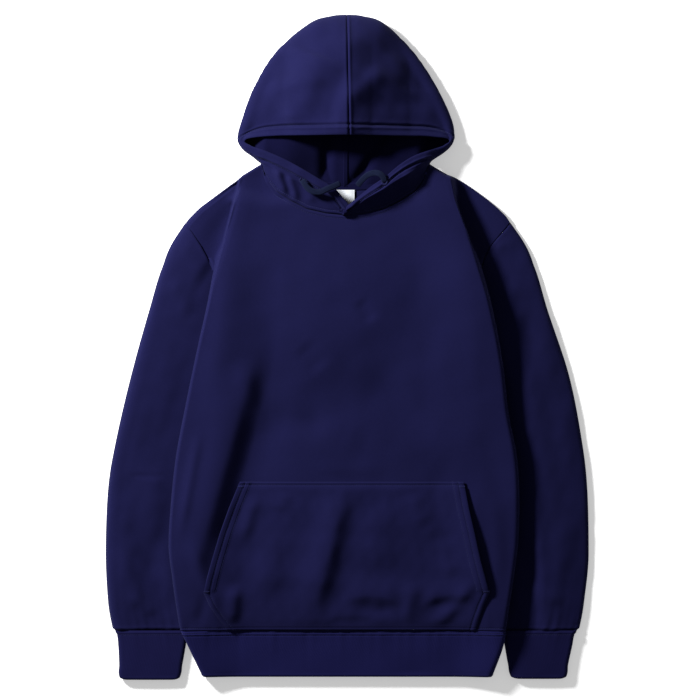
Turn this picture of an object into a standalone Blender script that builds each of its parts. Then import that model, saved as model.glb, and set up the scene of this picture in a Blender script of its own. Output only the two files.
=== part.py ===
"""Pullover hoodie laid flat on its back: metres, +Z up, hood towards +Y, resting on z = 0.

Tables and working values are in millimetres. Each cloth piece is an open surface of its outer side,
worked out from the tables, and a Solidify modifier gives it its wall.
"""

import bpy
import numpy as np

MM = 0.001
FLEECE_WALL = 2.4
RIB_WALL = 2.8  # the rib is doubled
SEAM_GAP = 0.4
END_GAP = 0.9  # where an edge meets another end to end
NECK_GAP = 1.7
SHOULDER_RIM = 5.4  # top of the front panel along the shoulder seam
LABEL_WALL = 0.8
CORD_RADIUS = 3.0

HEM_Y = -389.0  # where the waistband is sewn on
BAND_END_Y = -453.5
SHOULDER_Y = 172.0  # outer end of the shoulder seam
UNDERARM_Y = 108.0  # where the side fold meets the armhole seam
MIDDLE_X = -2.5
SLEEVE_LIFT = 13.7  # the back panel passes this high over a sleeve
LIFT_RUN = 34.0  # and comes down to the floor over this width
FRONT_LIFT_SHARE = 0.68  # how much of that rise shows in the front panel
FOLD_ROUND = 13.0  # width of the round at the side folds
SHOULDER_ROUND = 26.0
SHOULDER_BOW = {"left": 1.25, "right": 1.62}  # how far the shoulder line swells out, 1 for straight
NECK_OUT = 114.5  # neck point and shoulder end, out from the middle
SHOULDER_OUT = 226.0
HEAD_RISE = 3.6  # the sleeve head stands up where it shows past the body
HEAD_SINK = 2.2  # and is pressed flat where the body lies on it
HEAD_BACK = 2.6  # extra room between the sleeve head and the shoulder's end
BAND_INSET = 2.4  # the waistband's back starts this far in from its side folds


def table(columns, *rows):
    """Rows of numbers as a dictionary of named columns."""
    return {name: np.array(values, float) for name, values in zip(columns.split(), zip(*rows))}


# Side folds of the body and the height of the front along its middle, from the band's end to the shoulder.
BODY = table(
    "y left right middle",
    (-453.5, -199, 200, 12),
    (-406, -220.5, 216, 18.5),
    (-389, -228.5, 218.5, 21),
    (-366, -233, 221.5, 23),
    (-317, -240, 229, 24),
    (-270, -245, 235, 24.5),
    (-216, -242, 237, 25),
    (-150, -235, 233.5, 25),
    (-93, -224.5, 222.5, 24.5),
    (-22, -210, 214, 24.5),
    (66, -191, 197, 24.5),
    (108, -183, 185, 24.5),
    (150, -172, 172, 23.5),
    (200, -158, 152, 22),
    (232, -150, 144.5, 21),
)

# Armhole seam: shown from the shoulder to the side fold, hidden under the body below it.
ARMHOLE = table(
    "y left right height",
    (-24, -117.5, 117.5, 15),
    (60, -161, 161, 15),
    (108, -183, 184, 17.5),
    (122, -190.5, 189, 16.5),
    (140, -200.5, 198, 15.5),
    (154, -209.5, 209.5, 13.5),
    (165, -217.5, 220, 9),
    (172, -223.5, 226, 5.4),
)

# Inner edge of each sleeve, on which the side of the body lies.
INNER_EDGE = table(
    "y left right",
    (-456.5, -231, 226),
    (-406, -220.5, 216.5),
    (-389, -215, 207),
    (-355, -203, 199),
    (-300, -186.5, 184),
    (-245, -172.5, 171),
    (-190, -158.5, 158),
    (-128, -143.5, 143.5),
    (-79, -131, 131),
    (-24, -117.5, 117.5),
    (108, -183.5, 184.5),
    (172, -223.5, 226),
)

# Top edge of the panels, going out from the middle: neckline, neck point, shoulder seam.
FRONT_TOP = table(
    "out y",
    (0, 181.5), (26, 184), (52, 190), (74, 201), (95, 214), (105, 226), (110, 238), (114.5, 254),
    (134, 242), (161, 225.5), (184, 209), (205, 192), (216, 182), (226, 172),
)
BACK_TOP = table(
    "out y",
    (0, 221.5), (30, 223), (60, 230), (85, 239), (114.5, 254),
    (134, 242), (161, 225.5), (184, 209), (205, 192), (216, 182), (226, 172),
)

# How far each shoulder of the back swells out beyond BACK_TOP, to meet the front's.
BACK_SWELL = table(
    "out left right",
    (114.5, 0.8, 0), (130, 1.6, 0), (140, 2.4, 2), (152, 3.2, 4.8), (164, 3, 6.2), (176, 2.1, 6.4),
    (192, 0.9, 5.2), (206, 0, 3.2), (216, 0, 1.4), (226, 0, 0),
)

# Long soft folds of the front: from one point to another, half width, height (negative for a trough).
FOLDS = table(
    "x1 y1 x2 y2 width height",
    (-6, -222, -46, -352, 16, 2.6),
    (-128, -75, -206, -320, 12, -1.8),
    (-207, -130, -226, -240, 8, 2.0),
    (115, -352, 165, -345, 9, -2.4),
    (14, -352, 62, -358, 9, -2.0),
    (-62, -95, 10, -20, 26, -1.8),
    (96, -100, 46, 40, 30, -1.6),
    (118, 60, 150, 120, 24, 1.4),
)

# Sleeve sections, from the armhole to the cuff seam: outer edge, inner edge, thickness.
SLEEVES = {
    "left": table(
        "out_x out_y in_x in_y thick",
        (-223.5, 172, -117.5, -24, 11.5),
        (-253, 115, -122.8, -52, 12),
        (-273.6, 49, -131, -79, 12.2),
        (-298, -39, -143.5, -128, 12.2),
        (-318.8, -128, -158.5, -190, 12),
        (-329.6, -194, -172.5, -245, 12),
        (-333, -282, -186.5, -300, 12),
        (-330, -348, -203, -355, 12),
        (-325, -380, -213, -381, 12),
        (-321.2, -389, -217, -389, 11.5),
    ),
    "right": table(
        "out_x out_y in_x in_y thick",
        (226, 172, 117.5, -24, 12.2),
        (256.8, 115, 122.8, -52, 12.7),
        (277.5, 49, 131, -79, 12.9),
        (306.5, -39, 143.5, -128, 12.9),
        (324, -128, 158, -190, 12.7),
        (331.5, -194, 171, -245, 12.4),
        (333.5, -282, 184, -300, 12),
        (327.5, -348, 199, -355, 12),
        (322.2, -380, 206, -381, 12),
        (318.4, -389, 209, -389, 11.5),
    ),
}
CUFFS = {
    "left": table(
        "y outer inner thick",
        (-390, -320.2, -218, 11.2),
        (-394, -318, -219.5, 11.2),
        (-412, -315.5, -222.5, 11.2),
        (-437, -314.3, -227, 11),
        (-454, -313.8, -230.5, 10.8),
        (-457.8, -310.3, -234, 10.6),
    ),
    "right": table(
        "y outer inner thick",
        (-390, 317.4, 212, 11.2),
        (-394, 314.6, 214, 11.2),
        (-412, 310.5, 217.5, 11.2),
        (-437, 305, 222, 11),
        (-453, 302.5, 226, 10.8),
        (-456.5, 299, 230, 10.6),
    ),
}

# Hood sections, from the crown seam round to the front end: free edge at the hem (h), fold or crest (e),
# place along the neck seam (0 back, 1 neck point, 2 front) and its height, how far the section is folded
# under (1 or 0) and the rise of the dome.
HOODS = {
    "left": table(
        "hx hy hz ex ey ez seam nz under rise",
        (2.3, 294.5, 50, -0.9, 458.5, 11, 0, 0, 1, 4),
        (-30, 294.5, 49, -52, 446.5, 11, 0.19, 0, 1, 4),
        (-65, 294, 45, -98.5, 406.5, 11, 0.35, 0, 1, 4),
        (-98, 292.5, 38, -128.5, 358, 11, 0.52, 0, 1, 3),
        (-124, 289, 30, -145, 314, 10, 0.69, 0, 1, 2),
        (-140, 283.5, 22, -151, 289, 9.5, 0.85, 0, 1, 1),
        (-131, 276.5, 24, -143.5, 272.5, 10, 0.985, 1.5, 0.8, 0),
        (-120, 272.5, 26.5, -126, 263.5, 20, 1, 13, 0.3, 0),
        (-109, 268.5, 28, -110, 253, 24, 1.07, 19, 0, 0),
        (-85.5, 258, 30, -89, 237, 28, 1.19, 21, 0, 0),
        (-65, 247, 31, -67, 227, 29, 1.37, 21.5, 0, 0),
        (-43, 234, 31, -44, 215, 29, 1.58, 21.5, 0, 0),
        (-22, 221.5, 29, -23, 205, 26.5, 1.8, 21.5, 0, 0),
        (-6, 205, 24.5, -6, 196, 24, 1.98, 21.5, 0, 0),
    ),
    "right": table(
        "hx hy hz ex ey ez seam nz under rise",
        (3.6, 294.5, 50, 0.6, 458.5, 11, 0.01, 0, 1, 4),
        (35, 294.5, 49, 52, 446.5, 11, 0.19, 0, 1, 4),
        (69, 294, 45, 94, 407, 11, 0.35, 0, 1, 4),
        (100.5, 292.5, 38, 125, 359, 11, 0.52, 0, 1, 3),
        (125.5, 289, 30, 145, 315, 10, 0.69, 0, 1, 2),
        (140.5, 284.5, 22, 148, 291, 9.5, 0.85, 0, 1, 1),
        (133, 277.5, 24, 139, 274, 10, 0.985, 1.5, 0.8, 0),
        (123, 273.5, 26.5, 122, 264.5, 20, 1, 13.5, 0.3, 0),
        (112, 270, 28, 106.5, 255, 24, 1.07, 19, 0, 0),
        (91, 262, 31, 89, 241, 29, 1.19, 21.5, 0, 0),
        (72, 250, 33, 71, 229, 31, 1.37, 22, 0, 0),
        (51, 232.5, 34, 50, 215, 32, 1.58, 22, 0, 0),
        (30, 218, 34, 27, 203, 32, 1.8, 23.5, 0, 0),
        (3, 198, 30.5, -1, 193, 29.5, 2.04, 26.8, 0, 0),
    ),
}

# Kangaroo pocket: half outline by height, and how far the hand openings stand off the front.
POCKET = table(
    "y left right lift",
    (-388, -163, 176.5, 0),
    (-372, -176, 181, 0.4),
    (-352, -189, 188, 1.2),
    (-336, -196, 195, 2.2),
    (-318, -192, 190, 2.6),
    (-290, -184.5, 182.5, 2.6),
    (-255, -174, 175, 2.2),
    (-220, -161.5, 167, 1.4),
    (-184, -147, 160.5, 0),
)
POCKET_STANDOFF = 1.3

LABEL = {"left": -15.5, "right": 11.0, "top": 219.5, "bottom": 181.0, "height": 2.9}

# Drawcord ends: out of the eyelet, round and back over the hem.
CORDS = {
    "left": table(
        "x y z",
        (-61, 230, 33),
        (-57, 222, 35),
        (-49, 214.5, 36),
        (-38, 212.5, 36.2),
        (-27, 217, 36.6),
        (-17, 221, 35.5),
        (-9, 225, 33.5),
    ),
    "right": table(
        "x y z",
        (51, 226, 36.8),
        (50.5, 234.5, 39),
        (46, 241, 41),
        (38.5, 243.5, 40),
        (29, 241, 38.5),
        (20, 231.5, 36),
        (14, 222, 33),
    ),
}

NECK_SHARE = 0.852  # the neck point's place across the front's grid
FRONT_COLUMNS = (0, 0.13, 0.26, 0.39, 0.52, 0.64, 0.74, 0.81, NECK_SHARE, 0.92, 1)
BACK_NECK_SHARE = 0.515
BACK_COLUMNS = (0, 0.15, 0.3, 0.42, BACK_NECK_SHARE, 0.6, 0.68, 0.75, 0.81, 0.87, 0.93, 1)
SIDE_STEPS = 5
BODY_ROWS = (
    -389, -374, -352, -330, -308, -286, -262, -238, -212, -184, -154, -124, -94, -64, -34, -4,
    26, 54, 80, 98, 108, 122, 134, 144, 152, 159, 164.5, 168.5, 171, 172,
)  # fmt: skip


def smooth(share):
    share = np.clip(share, 0, 1)
    return share * share * (3 - 2 * share)


def through(rows, name, at, by="y"):
    """A smooth curve through one column of a table, read at any place along another."""
    x, y = rows[by], rows[name]
    step = np.diff(y) / np.diff(x)
    slope = np.concatenate([step[:1], (step[1:] + step[:-1]) / 2, step[-1:]])
    slope[1:-1][step[1:] * step[:-1] <= 0] = 0  # a turning point stays where the table has it
    at = np.clip(np.asarray(at, float), x[0], x[-1])
    cell = np.clip(np.searchsorted(x, at, side="right") - 1, 0, len(x) - 2)
    width = x[cell + 1] - x[cell]
    t = (at - x[cell]) / width
    return (
        y[cell] * (1 + 2 * t) * (1 - t) ** 2
        + y[cell + 1] * t * t * (3 - 2 * t)
        + width * (slope[cell] * t * (1 - t) ** 2 - slope[cell + 1] * t * t * (1 - t))
    )


def straight(rows, name, at, by="y"):
    return np.interp(at, rows[by], rows[name])


def bezier(points, share):
    a, b, c, d = points
    rest = 1 - share
    return a * rest**3 + 3 * b * rest**2 * share + 3 * c * rest * share**2 + d * share**3


def sleeve_lift(x, y):
    """How high the sleeve under it holds the cloth: full over the sleeve, down to the floor beyond it."""
    past_left = x - straight(INNER_EDGE, "left", y)
    past_right = straight(INNER_EDGE, "right", y) - x
    past = np.minimum(past_left, past_right) - 3
    above_underarm = smooth((SHOULDER_Y - y) / (SHOULDER_Y - 95))
    return SLEEVE_LIFT * above_underarm * smooth(1 - past / LIFT_RUN)


def fold_height(x, y):
    """Sum of the front's folds, each a soft ridge along a line that dies out at its ends."""
    total = np.zeros(np.broadcast(x, y).shape)
    for x1, y1, x2, y2, width, height in zip(*FOLDS.values()):
        along_x, along_y = x2 - x1, y2 - y1
        share = ((x - x1) * along_x + (y - y1) * along_y) / (along_x**2 + along_y**2)
        near = np.clip(share, 0, 1)
        away = np.hypot(x - x1 - near * along_x, y - y1 - near * along_y)
        total = total + height * np.exp(-((away / width) ** 2))
    return total


def front_height(x, y):
    """Top of the front panel between its side folds."""
    return through(BODY, "middle", y) + FRONT_LIFT_SHARE * sleeve_lift(x, y) + fold_height(x, y)


def side_curve(side, fold_y, edge_x, edge_z, share, shelf=0):
    """From the crest of the side fold round to the panel's edge: a wall (shelf 0), or a shelf to the armhole (1)."""
    outward = -1 if side == "left" else 1
    fold_x = through(BODY, side, fold_y)
    crest_x = fold_x - outward * FOLD_ROUND
    crest_z = front_height(crest_x, fold_y)
    third_x = fold_x + (edge_x - fold_x) * (1 - 0.55 * shelf)
    third_z = edge_z + (1 - shelf) * (crest_z - edge_z) * 0.5
    x = bezier((crest_x, fold_x, third_x, edge_x), share)
    z = bezier((crest_z, crest_z, third_z, edge_z), share)
    return x, z


def seam_height(x, y):
    """Lower edge of the front panel at the side seam, just above the back panel and higher at the underarm."""
    return sleeve_lift(x, y) + FLEECE_WALL + SEAM_GAP + 2.4 * smooth((y - 40) / (UNDERARM_Y - 40))


def top_rise(base_y):
    """How much of the top edge's shape a row has: none at the waist, all of it at the shoulder."""
    return smooth((base_y - 10) / (SHOULDER_Y - 10))


def front_half(side):
    """Rows of the front panel from its middle out to one edge."""
    rows = []
    for base_y in BODY_ROWS:
        bend = top_rise(base_y)
        columns = np.array(FRONT_COLUMNS)
        top_y = straight(FRONT_TOP, "y", columns * NECK_OUT / NECK_SHARE, by="out")
        y = base_y + bend * (top_y - SHOULDER_Y)
        fold_y = y[-1]
        crest_x = through(BODY, side, fold_y) - (-1 if side == "left" else 1) * FOLD_ROUND
        x = MIDDLE_X + (crest_x - MIDDLE_X) * columns
        z = front_height(x, y)
        shares = np.linspace(0, 1, SIDE_STEPS + 1)[1:]
        shelf = smooth((base_y - UNDERARM_Y) / 25)
        if base_y > UNDERARM_Y:
            edge_x = straight(ARMHOLE, side, base_y)
            edge_z = straight(ARMHOLE, "height", base_y)
        else:
            edge_x = through(BODY, side, base_y)
            edge_z = seam_height(edge_x, base_y)
        side_x, side_z = side_curve(side, fold_y, edge_x, edge_z, shares, shelf)
        gone = abs(side_x - x[-1]) / abs(edge_x - x[-1])
        side_y = fold_y + (base_y - fold_y) * gone ** SHOULDER_BOW[side]
        x = np.concatenate([x, side_x])
        y = np.concatenate([y, side_y])
        z = np.concatenate([z, side_z])
        place = np.concatenate([columns, np.ones(SIDE_STEPS)])
        rolled = smooth((place - 0.78) / (NECK_SHARE - 0.78))
        inward = np.clip((SHOULDER_Y - base_y) / SHOULDER_ROUND, 0, 1)
        drop = 1 - np.sqrt(1 - (1 - inward) ** 2)
        z = z - rolled * drop * np.maximum(z - SHOULDER_RIM, 0)
        rows.append(np.stack([x, y, z], axis=-1))
    return np.array(rows)


def back_half(side):
    """Rows of the back panel's underside, from its middle out to one edge."""
    rows = []
    columns = np.array(BACK_COLUMNS)
    past_neck = (columns - BACK_NECK_SHARE) / (1 - BACK_NECK_SHARE)
    shoulder = NECK_OUT + past_neck * (SHOULDER_OUT - NECK_OUT)
    out = np.where(past_neck > 0, shoulder, columns * NECK_OUT / BACK_NECK_SHARE)
    top_y = straight(BACK_TOP, "y", out, by="out")
    swell = straight(BACK_SWELL, side, out, by="out") * (out > NECK_OUT)
    for base_y in BODY_ROWS:
        y = base_y + top_rise(base_y) * (top_y + swell - SHOULDER_Y)
        edge = straight(ARMHOLE, side, base_y) if base_y > UNDERARM_Y else through(BODY, side, base_y)
        spread = (1 - top_rise(base_y)) * columns + top_rise(base_y) * out / SHOULDER_OUT
        x = MIDDLE_X + (edge - MIDDLE_X) * spread
        rows.append(np.stack([x, y, sleeve_lift(x, y)], axis=-1))
    return np.array(rows)


def both_halves(make):
    """One grid across the body: the left half reversed, then the right half without its shared middle."""
    return np.concatenate([make("left")[:, ::-1], make("right")[:, 1:]], axis=1)


def sleeve_sections(side):
    """Rings of a flattened tube, each lying on the floor: round at both edges, flat below."""
    rows = SLEEVES[side]
    stations = np.concatenate([np.linspace(0, 1, 4)[:-1], np.linspace(1, 8, 11)[:-1], [8, 8.5, 9]])
    sections = dict(rows, at=np.arange(len(rows["thick"]), dtype=float))
    outward = -1 if side == "left" else 1
    first_x, first_y = rows["out_x"][0], rows["out_y"][0]
    first_run_x, first_run_y = rows["in_x"][0] - first_x, rows["in_y"][0] - first_y
    rings = []
    for station in stations:
        ox, oy, ix, iy, thick = (through(sections, name, station, by="at") for name in rows)
        width = np.hypot(ix - ox, iy - oy)
        across, side_of = flat_ring(width, thick)
        share = across / width
        x = ox + (ix - ox) * share
        y = oy + (iy - oy) * share
        at_seam = np.exp(-((station / 0.7) ** 2))
        bow = straight(ARMHOLE, side, first_y + first_run_y * share) - (first_x + first_run_x * share)
        set_back = END_GAP + HEAD_BACK * np.exp(-share / 0.05)
        x = x + bow * np.clip(1 - station, 0, 1) + outward * set_back * np.exp(-station)
        shown = smooth((share - 0.02) / 0.1) * (1 - smooth((share - 0.23) / 0.09))
        hidden = smooth((share - 0.24) / 0.08)
        z = side_of * (thick + at_seam * (HEAD_RISE * shown - HEAD_SINK * hidden))
        rings.append(np.stack([x, y, z], axis=-1))
    return np.array(rings)


def flat_ring(width, thick, over=9, under=7, turn=4):
    """Places round a flattened tube: distance across, and height from 0 (floor) to 1 (top)."""
    radius = thick / 2
    straight_run = width - 2 * radius
    top = radius + straight_run * np.linspace(0, 1, over + 1)
    angles = np.linspace(np.pi / 2, -np.pi / 2, turn + 1)[1:-1]
    far_across = width - radius + radius * np.cos(angles)
    far_up = 0.5 + 0.5 * np.sin(angles)
    bottom = width - radius - straight_run * np.linspace(0, 1, under + 1)
    near_across = radius - radius * np.cos(angles)
    across = np.concatenate([top, far_across, bottom, near_across])
    up = np.concatenate([np.ones(over + 1), far_up, np.zeros(under + 1), far_up[::-1]])
    return across, up


def cuff_sections(side):
    rows = CUFFS[side]
    rings = []
    for y, outer, inner, thick in zip(*rows.values()):
        across, up = flat_ring(abs(inner - outer), thick, over=7, under=5)
        x = outer + np.sign(inner - outer) * across
        rings.append(np.stack([x, np.full_like(x, y), up * thick], axis=-1))
    return np.array(rings)


def band_sections():
    """Rings of the waistband, going on from the body's last row down to its own folded end."""
    rings = []
    for y in (HEM_Y - END_GAP, -393, -401, -411, -425, -440, -450, BAND_END_Y):
        halves = {}
        for side, outward in (("left", -1), ("right", 1)):
            edge_x = through(BODY, side, y)
            crest_x = edge_x - outward * FOLD_ROUND
            x = MIDDLE_X + (crest_x - MIDDLE_X) * np.array([0, 0.2, 0.4, 0.6, 0.76, 0.9, 1])
            z = front_height(x, y)
            side_x, side_z = side_curve(side, y, edge_x, seam_height(edge_x, y), np.linspace(0, 1, 5)[1:])
            halves[side] = np.stack([np.append(x, side_x), np.append(z, side_z)], axis=-1)
        left, right = through(BODY, "left", y) + BAND_INSET, through(BODY, "right", y) - BAND_INSET
        back_x = right + (left - right) * np.array([0, 0.05, 0.1, 0.16, 0.28, 0.42, 0.58, 0.72, 0.84, 0.9, 0.95, 1])
        back = np.stack([back_x, sleeve_lift(back_x, y)], axis=-1)
        ring = np.concatenate([halves["left"][::-1], halves["right"][1:], back])
        rings.append(np.insert(ring, 1, y, axis=1))
    return np.array(rings)


def neck_place(side, seam):
    """A point along the neck seam, from the middle of the back to the neck point to the middle of the front."""
    out = NECK_OUT * (seam if seam < 1 else 2 - seam)
    rows = BACK_TOP if seam < 1 else FRONT_TOP
    outward = -1 if side == "left" else 1
    return np.array([MIDDLE_X + outward * out, straight(rows, "y", abs(out), by="out")])


def neck_edge(side, seam):
    """The hood's edge beside the neck seam, set off from it towards the neck opening."""
    here = neck_place(side, seam)
    run = neck_place(side, seam + 0.01) - neck_place(side, seam - 0.01)
    across = np.array([-run[1], run[0]]) / np.hypot(*run)
    return here + across * np.sign(across[1]) * NECK_GAP


def hood_sections(side, up_steps=8, under_steps=8, between=1.5):
    """Sections of one hood half, each from the hem edge over the outside to the neck seam."""
    rows = HOODS[side]
    stations = dict(rows, at=np.arange(len(rows["hx"]), dtype=float))
    count = int((len(rows["hx"]) - 1) * between) + 1
    sections = []
    for station in np.linspace(0, len(rows["hx"]) - 1, count):
        v = {name: through(stations, name, station, by="at") for name in rows}
        hem = np.array([v["hx"], v["hy"], v["hz"]])
        fold = np.array([v["ex"], v["ey"], v["ez"]])
        neck = np.array([*neck_edge(side, float(v["seam"])), v["nz"]])
        near_hem = hem + (fold - hem) * (0.4, 0.4, 0) + (0, 0, v["rise"])
        lifted = fold + v["under"] * np.array([0, 0, 0.85 * (v["hz"] - v["ez"])])
        over_fold = lifted + (1 - v["under"]) * (hem - fold) / 3
        dropped = fold - v["under"] * np.array([0, 0, 1.4 * v["ez"]])
        under_fold = dropped + (1 - v["under"]) * (neck - fold) / 3
        near_neck = neck + (fold - neck) / 3 * (1, 1, 1 - v["under"])
        upper = np.linspace(0, 1, up_steps + 1)[:, None]
        lower = np.linspace(0, 1, under_steps + 1)[1:, None]
        section = np.concatenate(
            [
                bezier((hem, near_hem, over_fold, fold), upper),
                bezier((fold, under_fold, near_neck, neck), lower),
            ]
        )
        section[:, 2] = np.maximum(section[:, 2], 0)
        sections.append(section)
    return np.array(sections)


def pocket_rows(front):
    """Rows of the pocket's underside, each read off the front panel's own row and moved out."""
    rows = []
    for row in front:
        y = row[len(row) // 2, 1]
        if not POCKET["y"][0] - 2 < y < POCKET["y"][-1] + 2:
            continue
        left, right = (straight(POCKET, side, y) for side in ("left", "right"))
        share = np.linspace(0, 1, 17)
        x = left + (right - left) * share
        z = np.interp(x, row[:, 0], row[:, 2]) + POCKET_STANDOFF
        mouth = smooth(1 - share / 0.16) + smooth(1 - (1 - share) / 0.16)
        z = z + straight(POCKET, "lift", y) * mouth
        rows.append(np.stack([x, np.full_like(x, y + SEAM_GAP * (y <= HEM_Y + 1)), z], axis=-1))
    return np.array(rows)


def cloth(name, color, roughness=0.9):
    material = bpy.data.materials.new(name)
    material.use_nodes = True
    shader = material.node_tree.nodes["Principled BSDF"]
    shader.inputs["Base Color"].default_value = (*color, 1)
    shader.inputs["Roughness"].default_value = roughness
    return material


def add_piece(name, collection, grid, wall, material, around=False):
    """A grid of outer points as a mesh with a Solidify wall on its inner side."""
    rows, columns = grid.shape[:2]
    faces = []
    for row in range(rows - 1):
        for column in range(columns if around else columns - 1):
            beside = (column + 1) % columns
            here, there = row * columns, (row + 1) * columns
            faces.append((here + column, here + beside, there + beside, there + column))
    mesh = bpy.data.meshes.new(name)
    mesh.from_pydata((grid.reshape(-1, 3) * MM).tolist(), [], faces)
    mesh.materials.append(material)
    mesh.shade_smooth()
    piece = bpy.data.objects.new(name, mesh)
    collection.objects.link(piece)
    shell = piece.modifiers.new("wall", "SOLIDIFY")
    shell.thickness = wall * MM
    shell.offset = -1
    shell.use_quality_normals = True
    return piece


def add_cord(name, collection, rows, material):
    """A round tube along a smooth curve through the cord's own points."""
    far = np.cumsum(np.r_[0, np.hypot(np.hypot(np.diff(rows["x"]), np.diff(rows["y"])), np.diff(rows["z"]))])
    path = dict(rows, far=far)
    stops = np.linspace(0, far[-1], 9)
    data = bpy.data.curves.new(name, "CURVE")
    data.dimensions = "3D"
    data.bevel_depth = CORD_RADIUS * MM
    data.bevel_resolution = 2
    data.use_fill_caps = True
    spline = data.splines.new("POLY")
    spline.points.add(len(stops) - 1)
    for point, stop in zip(spline.points, stops):
        point.co = (*(float(through(path, axis, stop, by="far")) * MM for axis in "xyz"), 1)
    data.materials.append(material)
    cord = bpy.data.objects.new(name, data)
    collection.objects.link(cord)
    return cord


def main():
    for thing in list(bpy.data.objects):
        bpy.data.objects.remove(thing)
    hoodie = bpy.data.collections.new("pullover_hoodie")
    bpy.context.scene.collection.children.link(hoodie)

    fleece = cloth("navy fleece", (0.014, 0.013, 0.062))
    rib = cloth("navy rib", (0.011, 0.011, 0.05), 0.85)
    woven = cloth("white label", (0.75, 0.76, 0.8), 0.6)
    braid = cloth("navy braid", (0.016, 0.03, 0.06), 0.7)

    front = both_halves(front_half)
    back = both_halves(back_half)
    add_piece("front_panel", hoodie, front, FLEECE_WALL, fleece)
    add_piece("back_panel", hoodie, back[:, ::-1], FLEECE_WALL, fleece)
    for side in ("left", "right"):
        turn = slice(None, None, -1) if side == "left" else slice(None)
        back_turn = slice(None) if side == "left" else slice(None, None, -1)
        add_piece(f"sleeve_{side}", hoodie, sleeve_sections(side)[turn], FLEECE_WALL, fleece, around=True)
        add_piece(f"cuff_{side}", hoodie, cuff_sections(side)[turn], RIB_WALL, rib, around=True)
        add_piece(f"hood_{side}", hoodie, hood_sections(side)[back_turn], FLEECE_WALL, fleece)
        add_cord(f"drawcord_{side}", hoodie, CORDS[side], braid)
    add_piece("waistband", hoodie, band_sections()[::-1], RIB_WALL, rib, around=True)

    pocket = pocket_rows(front)
    pocket[..., 2] += FLEECE_WALL
    add_piece("pocket", hoodie, pocket, FLEECE_WALL, fleece)

    label_x, label_y = np.meshgrid(
        np.linspace(LABEL["left"], LABEL["right"], 4), np.linspace(LABEL["bottom"], LABEL["top"], 5)
    )
    label_top = np.full_like(label_x, LABEL["height"] + LABEL_WALL)
    add_piece("neck_label", hoodie, np.stack([label_x, label_y, label_top], axis=-1), LABEL_WALL, woven)


main()
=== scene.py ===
import math

import bpy
import numpy as np
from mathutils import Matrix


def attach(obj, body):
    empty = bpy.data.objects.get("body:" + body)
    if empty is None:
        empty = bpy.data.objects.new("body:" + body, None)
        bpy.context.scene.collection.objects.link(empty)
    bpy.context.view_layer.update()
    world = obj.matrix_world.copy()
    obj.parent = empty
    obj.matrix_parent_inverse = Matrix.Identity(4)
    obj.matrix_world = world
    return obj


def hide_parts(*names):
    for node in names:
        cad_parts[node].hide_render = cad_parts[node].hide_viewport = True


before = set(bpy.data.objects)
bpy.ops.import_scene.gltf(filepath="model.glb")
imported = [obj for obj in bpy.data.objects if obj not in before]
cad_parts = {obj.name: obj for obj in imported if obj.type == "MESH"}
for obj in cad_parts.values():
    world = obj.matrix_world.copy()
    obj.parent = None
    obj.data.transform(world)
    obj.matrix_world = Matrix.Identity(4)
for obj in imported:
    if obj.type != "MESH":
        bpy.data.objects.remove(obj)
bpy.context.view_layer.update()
mm = 0.001  # tables below are in millimetres


def table(columns, *rows):
    return {name: np.array(values, float) for name, values in zip(columns.split(), zip(*rows))}


# soft step: 3 s squared less 2 s cubed, held at 0 and 1 outside
def smooth(share):
    share = np.clip(share, 0, 1)
    return share * share * (3 - 2 * share)


# cubic through one column of a table; the slope at a row is the mean of the steps beside it, 0 at a turn
def through(rows, name, at, by="y"):
    x, y = rows[by], rows[name]
    step = np.diff(y) / np.diff(x)
    slope = np.concatenate([step[:1], (step[1:] + step[:-1]) / 2, step[-1:]])
    slope[1:-1][step[1:] * step[:-1] <= 0] = 0
    at = np.clip(np.asarray(at, float), x[0], x[-1])
    cell = np.clip(np.searchsorted(x, at, side="right") - 1, 0, len(x) - 2)
    width = x[cell + 1] - x[cell]
    t = (at - x[cell]) / width
    start = y[cell] * (1 + 2 * t) + width * slope[cell] * t
    end = y[cell + 1] * (3 - 2 * t) - width * slope[cell + 1] * (1 - t)
    return start * (1 - t) ** 2 + end * t * t


def straight(rows, name, at, by="y"):
    return np.interp(at, rows[by], rows[name])


# every vector at length 1
def unit(vectors):
    return vectors / np.maximum(np.linalg.norm(vectors, axis=-1, keepdims=True), 1e-9)


# distances along a line from its first point
def distances(line):
    return np.concatenate([[0], np.cumsum(np.linalg.norm(np.diff(line, axis=0), axis=1))])


# a line of points read again at other distances, straight between its points
def readAt(at, far, line):
    return np.stack([np.interp(at, far, line[:, k]) for k in range(3)], axis=-1)


# a tube's grid with its first column again after the last
def wrapped(grid, around=True):
    return np.concatenate([grid, grid[:, :1]], axis=1) if around else grid


# how far each face looks up: the cosine, held at 0, squared
def upwards(face):
    return np.clip(face[..., 2], 0, 1) ** 2


# the four points weighted by the cubic Bernstein terms
def bezier(points, share):
    a, b, c, d = points
    rest = 1 - share
    return a * rest**3 + 3 * b * rest**2 * share + 3 * c * rest * share**2 + d * share**3


# Each fold is a bell across its own line, with one width on the side of the light and one on the lee,
# bent sideways by a parabola and faded in over the first and last third of its length.
def foldHeight(folds, x, y):
    total = np.zeros(np.broadcast(x, y).shape)
    for x1, y1, x2, y2, sun, lee, height, bow in zip(*folds.values()):
        alongX, alongY = x2 - x1, y2 - y1
        reach = math.hypot(alongX, alongY)
        leeX, leeY = -alongY / reach, alongX / reach
        if leeX - leeY < 0:
            leeX, leeY = -leeX, -leeY
        share = np.clip(((x - x1) * alongX + (y - y1) * alongY) / reach**2, 0, 1)
        away = (x - x1) * leeX + (y - y1) * leeY - bow * 4 * share * (1 - share)
        fade = smooth(np.minimum(share, 1 - share) / 0.33)
        total += height * fade * np.exp(-((away / np.where(away < 0, sun, lee)) ** 2))
    return total


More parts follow.
